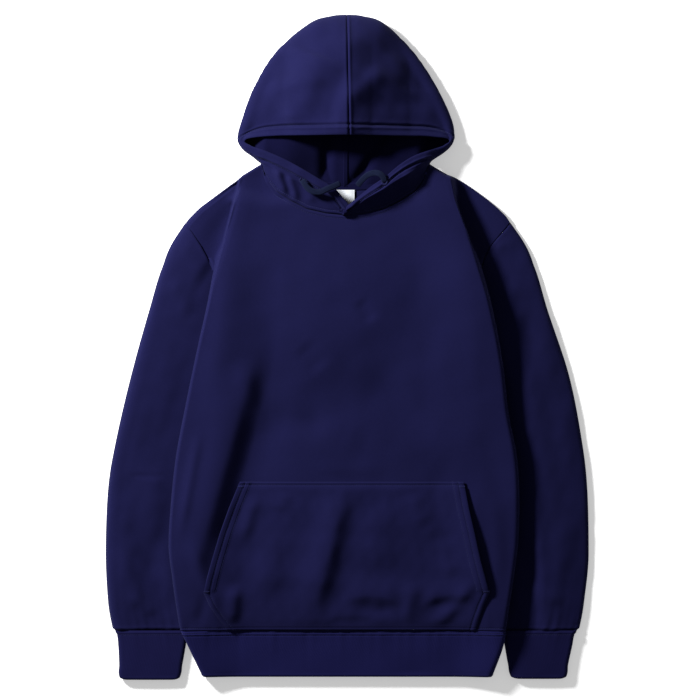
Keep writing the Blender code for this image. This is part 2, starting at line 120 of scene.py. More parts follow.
# low waves in all directions: sines whose heading, length and phase come from a seeded draw
def unevenness(x, y, size, depth, seed, count=9):
    draw = np.random.default_rng(seed)
    heading = draw.uniform(0, 2 * np.pi, count)
    wave = size * draw.uniform(0.7, 1.6, count)
    phase = draw.uniform(0, 2 * np.pi, count)
    total = np.zeros(np.broadcast(x, y).shape)
    for turn, length, start in zip(heading, wave, phase):
        total += np.sin(2 * np.pi * (x * np.cos(turn) + y * np.sin(turn)) / length + start)
    return total * depth / math.sqrt(count)


# several such waves added up, each row its size, depth and seed
def waves(x, y, rows):
    return sum(unevenness(x, y, *row) for row in rows)


# small gathers along a seam: three sines along it and three longer ones, dying out with the distance from it
def gathers(along, away, pitch, depth, reach, seed):
    draw = np.random.default_rng(seed)
    total = np.zeros(np.broadcast(along, away).shape)
    for share in (0.7, 1.0, 1.6):
        total += np.sin(2 * np.pi * along / (pitch * share) + draw.uniform(0, 2 * np.pi)) / 3
        total += 0.5 * np.sin(2 * np.pi * along / (pitch * share * 2.7) + draw.uniform(0, 2 * np.pi)) / 3
    return depth * total * np.exp(-away / reach)


# a bell of the given height and half width round a place
def bell(away, place, width):
    return np.exp(-(((away - place) / width) ** 2))


# What a seam does to the cloth beside it: a sum of bells, each row its height, place and half width.
def seamRelief(rows, away):
    return sum(height * bell(away, place, width) for height, place, width in rows)


# lengths from the first point on, along one direction of a grid
def lengths(grid, axis):
    step = np.linalg.norm(np.diff(grid, axis=axis), axis=-1)
    pad = [(0, 0), (0, 0)]
    pad[axis] = (1, 0)
    return np.pad(np.cumsum(step, axis=axis), pad)


# unit cross product of the two directions of a grid
def normals(grid, around=False):
    if around:
        across = np.roll(grid, -1, axis=1) - np.roll(grid, 1, axis=1)
    else:
        across = np.gradient(grid, axis=1)
    up = np.gradient(grid, axis=0)
    return unit(np.cross(across, up))


# places from 0 to 1, close together over the first and last few millimetres and even between
def edgeMarks(total, near, fine, count):
    start = np.arange(0, near, fine)
    middle = np.linspace(near, total - near, count)
    return np.concatenate([start, middle, total - start[::-1]]) / total


# One shell from a grid of points: its UV holds real lengths, its wall is a Solidify inwards.
def addCloth(name, grid, material, wall, around=False, back=None):
    rows, columns = grid.shape[:2]
    grid = np.round(grid, 4)
    closed = wrapped(grid, around)
    u, v = lengths(closed, 1), lengths(closed, 0)
    uv = np.stack([u - u[:, -1:] / 2, np.broadcast_to(v.mean(axis=1, keepdims=True), u.shape)], axis=-1) * mm
    row = np.arange(rows - 1)[:, None]
    column = np.arange(columns if around else columns - 1)[None, :]
    beside = (column + 1) % columns
    corners = [row * columns + column, row * columns + beside, (row + 1) * columns + beside]
    quads = np.stack([*corners, (row + 1) * columns + column], axis=-1).reshape(-1, 4)
    corner = np.stack([uv[:-1, :-1], uv[:-1, 1:], uv[1:, 1:], uv[1:, :-1]], axis=2)
    mesh = bpy.data.meshes.new(name)
    mesh.from_pydata((grid.reshape(-1, 3) * mm).tolist(), [], quads.tolist())
    mesh.uv_layers.new(name="cloth").data.foreach_set("uv", corner.ravel())
    mesh.materials.append(material)
    mesh.shade_smooth()
    piece = bpy.data.objects.new(name, mesh)
    bpy.context.scene.collection.objects.link(piece)
    if wall:
        shell = piece.modifiers.new("wall", "SOLIDIFY")
        shell.thickness = wall * mm
        shell.offset = -1
        shell.use_quality_normals = True
        if back:
            mesh.materials.append(back)
            shell.material_offset = 1
            shell.material_offset_rim = 0
    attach(piece, "root")
    return piece


# square metres of one layer, a parallelogram for each cell of the grid
def clothArea(grid, around=False):
    closed = wrapped(grid, around)
    one = np.cross(closed[:-1, 1:] - closed[:-1, :-1], closed[1:, :-1] - closed[:-1, :-1])
    return float(np.linalg.norm(one, axis=-1).sum()) * mm * mm


# a shell that stands for one solid, whose CAD part it hides, and the size it was cut to, printed
def addSheet(name, node, grid, material, wall, around=False, back=None):
    piece = addCloth(name, grid, material, wall, around, back)
    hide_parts(node)
    print(name, "measures", round(clothArea(grid, around), 4), "square metres")


# the camera looks straight down on the cloth: place, lens and sensor in millimetres, clip in metres
cameraSet = {"x": 4.1, "y": -3.4, "height": 3612, "lens": 134.5, "sensor": 36, "clip": 20}
camera = bpy.data.objects.new("camera", bpy.data.cameras.new("camera"))
camera.location = (cameraSet["x"] * mm, cameraSet["y"] * mm, cameraSet["height"] * mm)
camera.data.lens = cameraSet["lens"]
camera.data.sensor_width = cameraSet["sensor"]
camera.data.clip_end = cameraSet["clip"]
bpy.context.scene.collection.objects.link(camera)
bpy.context.scene.camera = camera

lightSet = {
    "from": (-0.80, 0.60, 0.56),
    "distance": 2.0,
    "size": 0.36,
    "power": 117,
    "fill": 0.20,
}
floorSet = {"half": 4, "drop": 0.0004, "pale": 0.86, "glow": 0.40, "rough": 0.9, "gloss": 0.1}


def addLight():
    toLight = np.array(lightSet["from"]) / np.linalg.norm(lightSet["from"])
    data = bpy.data.lights.new("key", "AREA")
    data.shape = "DISK"
    data.size = lightSet["size"]
    data.energy = lightSet["power"]
    key = bpy.data.objects.new("key", data)
    key.location = toLight * lightSet["distance"]
    key.rotation_euler = (-key.location).to_track_quat("-Z", "Y").to_euler()
    bpy.context.scene.collection.objects.link(key)
    world = bpy.data.worlds.new("studio")
    world.use_nodes = True
    world.node_tree.nodes["Background"].inputs["Color"].default_value = (1, 1, 1, 1)
    world.node_tree.nodes["Background"].inputs["Strength"].default_value = lightSet["fill"]
    bpy.context.scene.world = world
    bpy.context.scene.view_settings.view_transform = "Standard"


def addFloor():
    mesh = bpy.data.meshes.new("floor")
    half, z = floorSet["half"], -floorSet["drop"]
    corners = [(-half, -half, z), (half, -half, z), (half, half, z), (-half, half, z)]
    mesh.from_pydata(corners, [], [(0, 1, 2, 3)])
    material = bpy.data.materials.new("pale floor")
    material.use_nodes = True
    shader = material.node_tree.nodes["Principled BSDF"]
    shader.inputs["Base Color"].default_value = (*[floorSet["pale"]] * 3, 1)
    shader.inputs["Roughness"].default_value = floorSet["rough"]
    shader.inputs["Specular IOR Level"].default_value = floorSet["gloss"]
    shader.inputs["Emission Color"].default_value = (1, 1, 1, 1)
    shader.inputs["Emission Strength"].default_value = floorSet["glow"]
    mesh.materials.append(material)
    floor = bpy.data.objects.new("floor", mesh)
    bpy.context.scene.collection.objects.link(floor)


addLight()
addFloor()
print("camera, light and floor are set")


# short hand for making and joining shader nodes in one tree
class Nodes:
    def __init__(self, tree):
        self.tree = tree

    def add(self, kind, **values):
        node = self.tree.nodes.new(kind if kind.startswith("NodeGroup") else "ShaderNode" + kind)
        for name, value in values.items():
            setattr(node, name, value)
        return node

    def join(self, out, into):
        self.tree.links.new(out, into)

    def maths(self, operation, first, second=None):
        node = self.add("Math", operation=operation)
        for place, value in enumerate((first, second)):
            if isinstance(value, (int, float)):
                node.inputs[place].default_value = value
            elif value is not None:
                self.join(value, node.inputs[place])
        return node.outputs[0]

    # the first value times its share plus the second times its own
    def weigh(self, first, share, second, other):
        return self.maths("ADD", self.maths("MULTIPLY", first, share), self.maths("MULTIPLY", second, other))

    def noise(self, place, scale, detail, rough):
        node = self.add("TexNoise", noise_dimensions="3D")
        for socket, value in (("Scale", scale), ("Detail", detail), ("Roughness", rough)):
            node.inputs[socket].default_value = value
        self.join(place, node.inputs["Vector"])
        return node.outputs[0]


# how the plain knit is made, and its three noises: scale, detail and roughness
plainKnit = {"Wale mm": 0.9, "Course mm": 0.7, "Loops": 0.5, "Fuzz": 0.6, "Mottle": 0.12}
noiseSet = {"fuzz": (950, 3, 0.65), "pile": (210, 4, 0.6), "cloud": (26, 3, 0.5)}
# how the knit's parts are mixed; loops is how far the loop height lightens the colour on the tops and darkens
# it in the hollows, a painted highlight and shade
knitMix = {
    "slant": 2.4, "nap": (0.6, 0.4), "tone": (0.55, 0.45), "mottle": 6.0, "loops": 0.35,
    "lighterTone": 0.3, "rough": (0.12, 0.84),
}


# Knit face: loops from two crossed sines of the UV, brushed fuzz and soft mottling from noise; the colour
# turns lighter at random by the mottling, and on the loop tops as a painted highlight, with painted shade in
# the hollows.
def knitGroup():
    group = bpy.data.node_groups.new("knit face", "ShaderNodeTree")
    face = group.interface
    for name, value in plainKnit.items():
        face.new_socket(name, in_out="INPUT", socket_type="NodeSocketFloat").default_value = value
    for name in ("Base", "Lighter tone"):
        face.new_socket(name, in_out="INPUT", socket_type="NodeSocketColor")
    face.new_socket("Color", in_out="OUTPUT", socket_type="NodeSocketColor")
    face.new_socket("Height", in_out="OUTPUT", socket_type="NodeSocketFloat")
    face.new_socket("Rough", in_out="OUTPUT", socket_type="NodeSocketFloat")
    n = Nodes(group)
    given = n.add("NodeGroupInput").outputs
    apart = n.add("SeparateXYZ")
    n.join(n.add("UVMap", uv_map="cloth").outputs[0], apart.inputs[0])
    turns = 2 * math.pi / mm
    wale = n.maths("DIVIDE", n.maths("MULTIPLY", apart.outputs[0], turns), given["Wale mm"])
    course = n.maths("DIVIDE", n.maths("MULTIPLY", apart.outputs[1], turns), given["Course mm"])
    legs = n.maths("ABSOLUTE", n.maths("SINE", n.maths("MULTIPLY", wale, 0.5)))
    slant = n.maths("ADD", course, n.maths("MULTIPLY", legs, knitMix["slant"]))
    loops = n.maths("MULTIPLY", n.maths("ADD", n.maths("COSINE", wale), n.maths("SINE", slant)), 0.25)
    solid = n.add("TexCoord").outputs["Object"]
    fuzz, pile, cloud = (n.noise(solid, *noiseSet[name]) for name in ("fuzz", "pile", "cloud"))
    nap = n.weigh(fuzz, knitMix["nap"][0], pile, knitMix["nap"][1])
    height = n.weigh(loops, given["Loops"], nap, given["Fuzz"])
    tone = n.weigh(pile, knitMix["tone"][0], cloud, knitMix["tone"][1])
    spread = n.maths("MULTIPLY", n.maths("SUBTRACT", tone, 0.5), given["Mottle"])
    # the lighter colour's share: random mottling, plus the loop height as a painted highlight on the tops and
    # painted shade in the hollows
    share = n.weigh(spread, knitMix["mottle"], loops, n.maths("MULTIPLY", given["Loops"], knitMix["loops"]))
    share = n.maths("ADD", share, knitMix["lighterTone"])
    mix = n.add("Mix", data_type="RGBA", clamp_factor=True)
    n.join(share, mix.inputs["Factor"])
    n.join(given["Base"], mix.inputs["A"])
    n.join(given["Lighter tone"], mix.inputs["B"])
    rough = n.maths("ADD", n.maths("MULTIPLY", cloud, knitMix["rough"][0]), knitMix["rough"][1])
    out = n.add("NodeGroupOutput")
    n.join(mix.outputs["Result"], out.inputs["Color"])
    n.join(height, out.inputs["Height"])
    n.join(rough, out.inputs["Rough"])
    return group


ribWidth = 2.2  # from one rib to the next


# Fine rib: rounded cords along the cloth, the sine of the UV's width with its sign taken off.
def ribGroup():
    group = bpy.data.node_groups.new("fine rib", "ShaderNodeTree")
    face = group.interface
    face.new_socket("Pitch mm", in_out="INPUT", socket_type="NodeSocketFloat").default_value = ribWidth
    face.new_socket("Height", in_out="OUTPUT", socket_type="NodeSocketFloat")
    face.new_socket("Mask", in_out="OUTPUT", socket_type="NodeSocketFloat")
    n = Nodes(group)
    given = n.add("NodeGroupInput").outputs
    apart = n.add("SeparateXYZ")
    n.join(n.add("UVMap", uv_map="cloth").outputs[0], apart.inputs[0])
    turn = n.maths("DIVIDE", n.maths("MULTIPLY", apart.outputs[0], math.pi / mm), given["Pitch mm"])
    cords = n.maths("ABSOLUTE", n.maths("SINE", turn))
    out = n.add("NodeGroupOutput")
    n.join(n.maths("POWER", cords, 0.6), out.inputs["Height"])
    n.join(cords, out.inputs["Mask"])
    return group


# one cloth: base is its darker colour, kept in the knit's hollows as painted shade, the second its lighter
# one, mixed in at random and on the loop tops as a painted highlight; changes is what differs from the plain
# knit
def clothMaterial(name, base, lighterTone, bump=0.35, sheen=0.03, ribPitch=0, changes=()):
    material = bpy.data.materials.new(name)
    material.use_nodes = True
    n = Nodes(material.node_tree)
    shader = material.node_tree.nodes["Principled BSDF"]
    shader.inputs["Specular IOR Level"].default_value = 0.04
    shader.inputs["Sheen Weight"].default_value = sheen
    shader.inputs["Sheen Roughness"].default_value = 0.55
    shader.inputs["Sheen Tint"].default_value = (0.42, 0.46, 0.95, 1)
    knit = n.add("Group", node_tree=groups["knit"])
    for socket, value in {**plainKnit, **dict(changes)}.items():
        knit.inputs[socket].default_value = value
    knit.inputs["Base"].default_value = (*base, 1)
    knit.inputs["Lighter tone"].default_value = (*lighterTone, 1)
    height = knit.outputs["Height"]
    if ribPitch:
        rib = n.add("Group", node_tree=groups["rib"])
        rib.inputs["Pitch mm"].default_value = ribPitch
        height = n.weigh(height, 0.5, rib.outputs["Height"], 0.7)
    relief = n.add("Bump")
    relief.inputs["Strength"].default_value = bump
    relief.inputs["Distance"].default_value = 0.0004
    n.join(height, relief.inputs["Height"])
    n.join(knit.outputs["Color"], shader.inputs["Base Color"])
    n.join(knit.outputs["Rough"], shader.inputs["Roughness"])
    n.join(relief.outputs[0], shader.inputs["Normal"])
    return material


groups = {"knit": knitGroup(), "rib": ribGroup()}
fleece = clothMaterial("brushed navy fleece", (0.0044, 0.0044, 0.0276), (0.0068, 0.0068, 0.0390))
# the fleece back for the hood's inner side and the tapes, its colour darkened as painted shade for the hollow
# of the hood
paintedShadeInside = clothMaterial(
    "navy fleece back with painted shade", (0.0017, 0.0016, 0.0150), (0.0028, 0.0027, 0.0224),
    changes={"Wale mm": 1.8, "Course mm": 1.5, "Loops": 0.3, "Fuzz": 1.0, "Mottle": 0.2},
)
ribKnit = clothMaterial(
    "navy fine rib", (0.0042, 0.0040, 0.0275), (0.0060, 0.0058, 0.0375),
    ribPitch=ribWidth, changes={"Loops": 0.4},
)
# the same rib as the cuffs, its colour lightened as painted light where the band tilts away from the lamp
bandRibPaintedLight = clothMaterial(
    "navy rib lightened as painted light", (0.0060, 0.0060, 0.042), (0.0084, 0.0083, 0.055),
    ribPitch=ribWidth, changes={"Loops": 0.4},
)
thread = clothMaterial(
    "navy thread", (0.0062, 0.0068, 0.034), (0.0112, 0.0122, 0.056),
    sheen=0.1, changes={"Wale mm": 0.4, "Course mm": 0.4, "Fuzz": 0.3},
)
braid = clothMaterial(
    "navy braid", (0.0030, 0.0046, 0.0146), (0.0056, 0.0090, 0.0276),
    bump=0.8, changes={"Wale mm": 2.0, "Course mm": 1.6, "Loops": 1.0, "Fuzz": 0.3},
)
woven = clothMaterial(
    "white woven label", (0.49, 0.51, 0.54), (0.58, 0.60, 0.64),
    sheen=0.05, changes={"Wale mm": 0.5, "Course mm": 0.5, "Loops": 0.6, "Fuzz": 0.2, "Mottle": 0.05},
)
print("materials are made")

# drawcord ends, from the eyelet out and back over the hood's hem
cordRows = {
    "left": table(
        "x y z",
        (-61, 230, 33), (-57, 222, 35), (-49, 214.5, 36), (-38, 212.5, 36.2),
        (-27, 217, 36.6), (-17, 221, 35.5), (-9, 225, 33.5),
    ),
    "right": table(
        "x y z",
        (51, 225.5, 42), (50, 231.5, 43.5), (45.5, 236.5, 44), (38, 238.5, 42.5),
        (29, 236, 40), (20, 228.5, 37), (14, 221, 34.5),
    ),
}
cordSet = {
    "width": 8.0, "thick": 2.4, "square": 0.8, "roundEnd": 1.5, "diameter": 6.0,
    "steps": 60, "round": 20,
}


# A flat oval carried along the cord's line: its width lies level across the line, its thickness along up.
def addCord(side):
    rows = cordRows[side]
    points = np.stack([rows[axis] for axis in "xyz"], axis=-1)
    path = dict(rows, far=distances(points))
    stops = np.linspace(0, path["far"][-1], cordSet["steps"])
    line = np.stack([through(path, axis, stops, by="far") for axis in "xyz"], axis=-1)
    along = unit(np.gradient(line, axis=0))
    across = unit(np.cross(along, (0, 0, 1)))
    up = np.cross(across, along)
    turn = np.linspace(0, 2 * np.pi, cordSet["round"], endpoint=False)
    wide = np.sign(np.cos(turn)) * np.abs(np.cos(turn)) ** cordSet["square"] * cordSet["width"] / 2
    high = np.sign(np.sin(turn)) * np.abs(np.sin(turn)) ** cordSet["square"] * cordSet["thick"] / 2
    ending = np.clip(1 - np.minimum(stops, stops[::-1]) / cordSet["roundEnd"], 0, None)
    taper = np.sqrt(np.clip(1 - ending**2, 0.02, 1))
    ring = wide[None, :, None] * across[:, None] + high[None, :, None] * up[:, None]
    tube = line[:, None] + ring * taper[:, None, None]
    cord = addCloth(f"drawcord_{side}_braid", tube, braid, 0, around=True)
    closeEnds(cord, cordSet["steps"], cordSet["round"])
    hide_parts(f"drawcord_{side}")


# caps both ends of a tube with one face each and turns all faces outwards
def closeEnds(piece, steps, count):
    mesh = piece.data
    uv = np.zeros(len(mesh.loops) * 2)
    mesh.uv_layers["cloth"].data.foreach_get("uv", uv)
    points = [tuple(vertex.co) for vertex in mesh.vertices]
    faces = [tuple(face.vertices) for face in mesh.polygons]
    first, last = range(count)[::-1], range((steps - 1) * count, steps * count)
    faces += [tuple(first), tuple(last)]
    material = mesh.materials[0]
    mesh.clear_geometry()
    mesh.from_pydata(points, [], faces)
    layer = mesh.uv_layers.get("cloth") or mesh.uv_layers.new(name="cloth")
    layer.data.foreach_set("uv", np.concatenate([uv, np.zeros(4 * count)]))
    if not mesh.materials:
        mesh.materials.append(material)
    mesh.shade_smooth()


for side in ("left", "right"):
    addCord(side)
print("drawcords are laid")

# body: side folds and the height of the front along its middle, from the band's end to the shoulder
bodyRows = table(
    "y left right middle",
    (-453.5, -199, 200, 12),
    (-406, -220.5, 216, 18.5),
    (-389, -228.5, 218.5, 21),
    (-366, -233, 221.5, 23),
    (-317, -240, 229, 24),
    (-270, -245, 235, 24.5),
    (-216, -242, 237, 25),
    (-150, -235, 233.5, 25),
    (-93, -224.5, 222.5, 24.5),
    (-22, -210, 214, 24.5),
    (66, -191, 197, 24.5),
    (108, -183, 185, 24.5),
    (150, -172, 172, 23.5),
    (200, -158, 152, 22),
    (232, -150, 144.5, 21),
)
armholeRows = table(
    "y left right leftHeight rightHeight",
    (-24, -117.5, 117.5, 15, 15),
    (60, -161, 161, 15, 15),
    (108, -183, 184, 13.4, 9.6),
    (122, -190.5, 189, 12.8, 7.8),
    (140, -200.5, 198, 12.4, 7.6),
    (154, -209.5, 209.5, 12.6, 7.6),
    (165, -217, 219.5, 11.8, 7.2),
    (169, -220, 222.8, 9.8, 6.4),
    (172, -222.3, 225, 6, 5.4),
)
innerRows = table(
    "y left right",
    (-456.5, -231, 226),
    (-406, -220.5, 216.5),
    (-389, -215, 207),
    (-355, -203, 199),
    (-300, -186.5, 184),
    (-245, -172.5, 171),
    (-190, -158.5, 158),
    (-128, -143.5, 143.5),
    (-79, -131, 131),
    (-24, -117.5, 117.5),
    (108, -183.5, 184.5),
    (172, -223.5, 226),
)
softInner = table(
    "y left right",
    (-460, -226, 222),
    (-300, -205, 204),
    (-130, -187, 187),
    (0, -178, 180),
    (110, -172, 172),
    (250, -160, 160),
)
frontTop = table(
    "out y",
    (0, 181.5), (26, 184), (52, 190), (74, 201), (95, 214), (105, 226), (110, 238), (114.5, 254),
    (134, 242), (161, 225.5), (184, 209), (205, 192), (216, 182), (226, 172),
)
backTop = table(
    "out y",
    (0, 221.5), (30, 223), (60, 230), (85, 239), (114.5, 254),
    (134, 242), (161, 225.5), (184, 209), (205, 192), (216, 182), (226, 172),
)
backSwell = table(
    "out left right",
    (114.5, 0, 0), (130, 0, 0), (140, -1.4, 0.4), (152, -3.4, 2), (164, -4.4, 3), (176, -5, 3.2),
    (192, -4.8, 2.6), (206, -4.6, 1.6), (216, -2.4, 0.6), (226, 0, 0),
)
# the shoulder from the side fold out to the armhole: share of the way out and of the drop reached there
shoulderRun = table(
    "gone left right",
    (0, 0, 0), (0.1, 0.105, 0.045), (0.23, 0.217, 0.135), (0.36, 0.333, 0.245), (0.5, 0.457, 0.378),
    (0.63, 0.574, 0.505), (0.77, 0.7, 0.655), (0.87, 0.825, 0.778), (0.95, 0.92, 0.893), (1, 1, 1),
)
bodySet = {
    "wall": 2.4, "ribWall": 2.6, "seamGap": 0.4, "endGap": 0.2, "neckGap": 0.4, "shoulderRim": 5.4,
    "hemY": -389.0, "bandEndY": -453.5, "bendY": 10.0, "underarmY": 108.0, "shoulderY": 172.0,
    "middleX": -2.5, "neckOut": 114.5, "shoulderOut": 226.0,
    "sleeveLift": 13.0, "liftRun": 34.0, "frontLiftShare": 0.72, "softRun": 80.0, "crest": 9.0,
    "foldRound": {"left": 6.0, "right": 8.0},
    "shoulderRound": {"left": 4.0, "right": 7.0},
    "shelfDip": {"left": (2.4, 4.4), "right": (0.6, 0.0)},
    "melt": {"left": 16.0, "right": 5.0},
}
# the rise over the sleeves, and the room that it leaves at the side seam
liftSet = {
    "inset": 3, "topY": 160, "fade": 65, "frontFullY": 60,
    "crestRun": 52, "crestLowY": -90, "crestLowRun": 200, "crestHighY": 186, "crestHighRun": 56,
    "seamRest": 2.6, "seamRoom": 2.4, "roomY": 40,
}
# the shelf beyond the side fold, above the underarm: its step down, the dip beside it and where each sets in
shelfSet = {
    "start": 3, "run": 9, "reach": 0.92, "halfStep": 2.8, "meltY": 206, "meltRun": 16,
    "dipY": 140, "dipRun": 60, "dipEdge": 6, "dipEdgeRun": 5, "dipStart": 3, "dipWidth": 38, "neckRun": 9,
}

# the solid's own long folds, in the same places: line, widths to the light and to the lee, height, bend
mainFolds = table(
    "x1 y1 x2 y2 sun lee height bow",
    (-2, -176, -54, -386, 26, 16, 9.0, 2),
    (-120, 20, -226, -352, 34, 16, 5.6, 2),
    (-84, 40, -200, -368, 19, 40, -5.3, 4),
    (-200, -104, -230, -268, 8, 7, 2.6, 0),
    (107, -352, 172, -345, 9, 9, -2.4, 4),
    (6, -352, 70, -358, 9, 9, -2.0, 5),
    (-90, -120, 30, -30, 34, 30, -2.6, 0),
    (96, -100, 46, 40, 32, 32, -1.6, 0),
    (112, 50, 154, 130, 26, 26, 1.6, 0),
)
chestFolds = table(
    "x1 y1 x2 y2 sun lee height bow",
    (-200, 236, -70, 203, 30, 9, -8.0, 0),
    (-204, 208, -66, 190, 6, 20, 1.6, 0),
    (124, 236, 6, 178, 12, 16, -4.0, -14),
    (-134, 250, -188, 60, 8, 26, 2.6, 3),
    (-130, -60, 90, 120, 90, 58, 6.5, 0),
    (-36, 74, 50, 44, 22, 18, -1.5, 0),
    (14, 66, 36, 34, 9, 11, -1.8, 0),
    (-66, 4, -34, -34, 14, 20, -1.9, 0),
    (0, -40, 120, -130, 30, 36, -4.0, -8),
    (-116, -84, -10, -112, 18, 20, -3.0, 6),
    (-50, -98, 30, -126, 18, 22, 1.6, 0),
    (52, -60, 168, -30, 30, 34, 2.4, 0),
    (-150, -14, -118, -124, 16, 14, 2.6, 3),
    (-148, 170, -192, -110, 22, 30, 3.2, 0),
    (-214, -250, -172, -378, 10, 11, 3.0, -4),
    (-186, -326, -208, -388, 9, 9, -1.8, 0),
    (196, -180, 210, -340, 11, 13, 2.0, 3),
    (176, -70, 232, -390, 40, 30, -5.0, 0),
    (-60, -166, 60, -168, 12, 9, 0.9, 0),
    (120, -150, 186, -210, 20, 24, -1.6, 4),
)


def outward(side):
    return -1 if side == "left" else 1


# 1 over the sleeve falling softly to 0 beyond it, times a rise from the shoulder down
def sleeveLift(x, y):
    past = np.minimum(x - straight(innerRows, "left", y), straight(innerRows, "right", y) - x)
    past = past - liftSet["inset"]
    above = smooth((liftSet["topY"] - y) / liftSet["fade"])
    return bodySet["sleeveLift"] * above * smooth(1 - past / bodySet["liftRun"])


# the front lies softer than the back: the sleeves under it show only as a low broad rise to both sides
def frontHeight(x, y):
    past = np.minimum(x - straight(softInner, "left", y), straight(softInner, "right", y) - x)
    above = smooth((bodySet["shoulderY"] - y) / (bodySet["shoulderY"] - liftSet["frontFullY"]))
    lift = bodySet["sleeveLift"] * bodySet["frontLiftShare"] * above * smooth(1 - past / bodySet["softRun"])
    fromFold = np.maximum(through(bodyRows, "right", y) - bodySet["foldRound"]["right"] - x, 0)
    swell = bodySet["crest"] * np.exp(-((fromFold / liftSet["crestRun"]) ** 2))
    swell = swell * smooth((y - liftSet["crestLowY"]) / liftSet["crestLowRun"])
    lift = lift + swell * (1 - smooth((y - liftSet["crestHighY"]) / liftSet["crestHighRun"]))
    return through(bodyRows, "middle", y) + lift + foldHeight(mainFolds, x, y) + foldHeight(chestFolds, x, y)


# height of the front's edge at the side seam: clear of the back panel, with more room towards the underarm
def seamHeight(x, y):
    room = smooth((y - liftSet["roomY"]) / (bodySet["underarmY"] - liftSet["roomY"]))
    return sleeveLift(x, y) + liftSet["seamRest"] + bodySet["seamGap"] + liftSet["seamRoom"] * room


# Bezier from the crest of the side fold: a wall down to the side seam, or a shelf out to the armhole
def sideCurve(side, foldY, edgeX, edgeZ, share, shelf=0):
    foldX = through(bodyRows, side, foldY)
    crestX = foldX - outward(side) * bodySet["foldRound"][side]
    crestZ = frontHeight(crestX, foldY)
    thirdX = foldX + (edgeX - foldX) * (1 - shelfSet["reach"] * shelf)
    thirdZ = edgeZ + (1 - shelf) * (crestZ - edgeZ) * 0.5
    x = bezier((crestX, foldX, thirdX, edgeX), share)
    wall = bezier((crestZ, crestZ, thirdZ, edgeZ), share)
    past = outward(side) * (x - foldX)
    near = shelfSet["halfStep"]
    far = near + bodySet["melt"][side] * smooth((foldY - shelfSet["meltY"]) / shelfSet["meltRun"])
    step = edgeZ + (crestZ - edgeZ) * (1 - smooth((past + near) / (near + far)))
    dip, more = bodySet["shelfDip"][side]
    dip = dip + more * smooth((foldY - shelfSet["dipY"]) / shelfSet["dipRun"])
    dip = dip * smooth((edgeZ - shelfSet["dipEdge"]) / shelfSet["dipEdgeRun"])
    dip = dip * smooth((past + shelfSet["dipStart"]) / (2 * shelfSet["dipStart"]))
    step = step - dip * np.exp(-((np.maximum(past, 0) / shelfSet["dipWidth"]) ** 2))
    return x, wall * (1 - shelf) + step * shelf


# how far the level rows of the body have bent up into neckline and shoulder: 0 low down, 1 at the top
def topRise(baseY):
    return smooth((baseY - bodySet["bendY"]) / (bodySet["shoulderY"] - bodySet["bendY"]))


# how far the front's own columns reach from the middle at the shoulder
def frontReach(side):
    crestX = through(bodyRows, side, bodyRows["y"][-1]) - outward(side) * bodySet["foldRound"][side]
    return outward(side) * float(crestX - bodySet["middleX"])


# Front from its middle to one edge: rows bend up into neckline and shoulder, columns end in the side curve.
def frontHalf(side, baseY, columns, sideShares):
    base = baseY[:, None]
    corner = bodySet["neckOut"] / frontReach(side)
    columns[np.argmin(np.abs(columns - corner))] = corner
    top = straight(frontTop, "y", columns * frontReach(side), by="out")
    y = base + topRise(base) * (top - bodySet["shoulderY"])
    foldY = y[:, -1:]
    crestX = through(bodyRows, side, foldY) - outward(side) * bodySet["foldRound"][side]
    x = bodySet["middleX"] + (crestX - bodySet["middleX"]) * columns
    z = frontHeight(x, y)
    onShelf = base > bodySet["underarmY"]
    edgeX = np.where(onShelf, straight(armholeRows, side, base), through(bodyRows, side, base))
    edgeZ = np.where(onShelf, straight(armholeRows, side + "Height", base), seamHeight(edgeX, base))
    shelf = smooth((base - bodySet["underarmY"] + shelfSet["start"]) / shelfSet["run"])
    sideX, sideZ = sideCurve(side, foldY, edgeX, edgeZ, sideShares, shelf)
    gone = np.abs(sideX - x[:, -1:]) / np.abs(edgeX - x[:, -1:])
    sideY = foldY + (base - foldY) * through(shoulderRun, side, gone, by="gone")
    x, y, z = (np.concatenate(pair, axis=1) for pair in ((x, sideX), (y, sideY), (z, sideZ)))
    place = np.concatenate([columns, np.ones(len(sideShares))])
    rolled = smooth((place * frontReach(side) - bodySet["neckOut"]) / shelfSet["neckRun"] + 1)
    inward = np.clip((bodySet["shoulderY"] - base) / bodySet["shoulderRound"][side], 0, 1)
    drop = 1 - np.sqrt(1 - (1 - inward) ** 2)
    z = z - rolled * drop * np.maximum(z - bodySet["shoulderRim"], 0)
    return np.stack([x, y, z], axis=-1)


# Here and below: marks are near, fine and count for edgeMarks, waves are size, depth and seed, gathers are
# pitch, depth, reach and seed, calm is how far from each edge the waves set in, and seams are bells.
frontSet = {
    "marks": (10, 1.0, 165), "columns": 76,
    "waves": ((95, 0.55, 3), (34, 0.16, 4)), "gathers": (22, 0.55, 16, 5), "calm": (30, 6),
    "neckline": ((0.9, 3.2, 1.6), (-0.5, 5, 0.9), (-0.5, 0, 0.8)), "neckSpread": (6, 8), "neckY": 150,
    "hem": ((-0.8, 0, 1.2), (-0.6, 4, 0.8), (0.35, 2, 0.8)),
}
sideMarks = np.concatenate([np.linspace(0, 1, 27)[1:-1], [0.978, 0.99, 0.996, 1]])


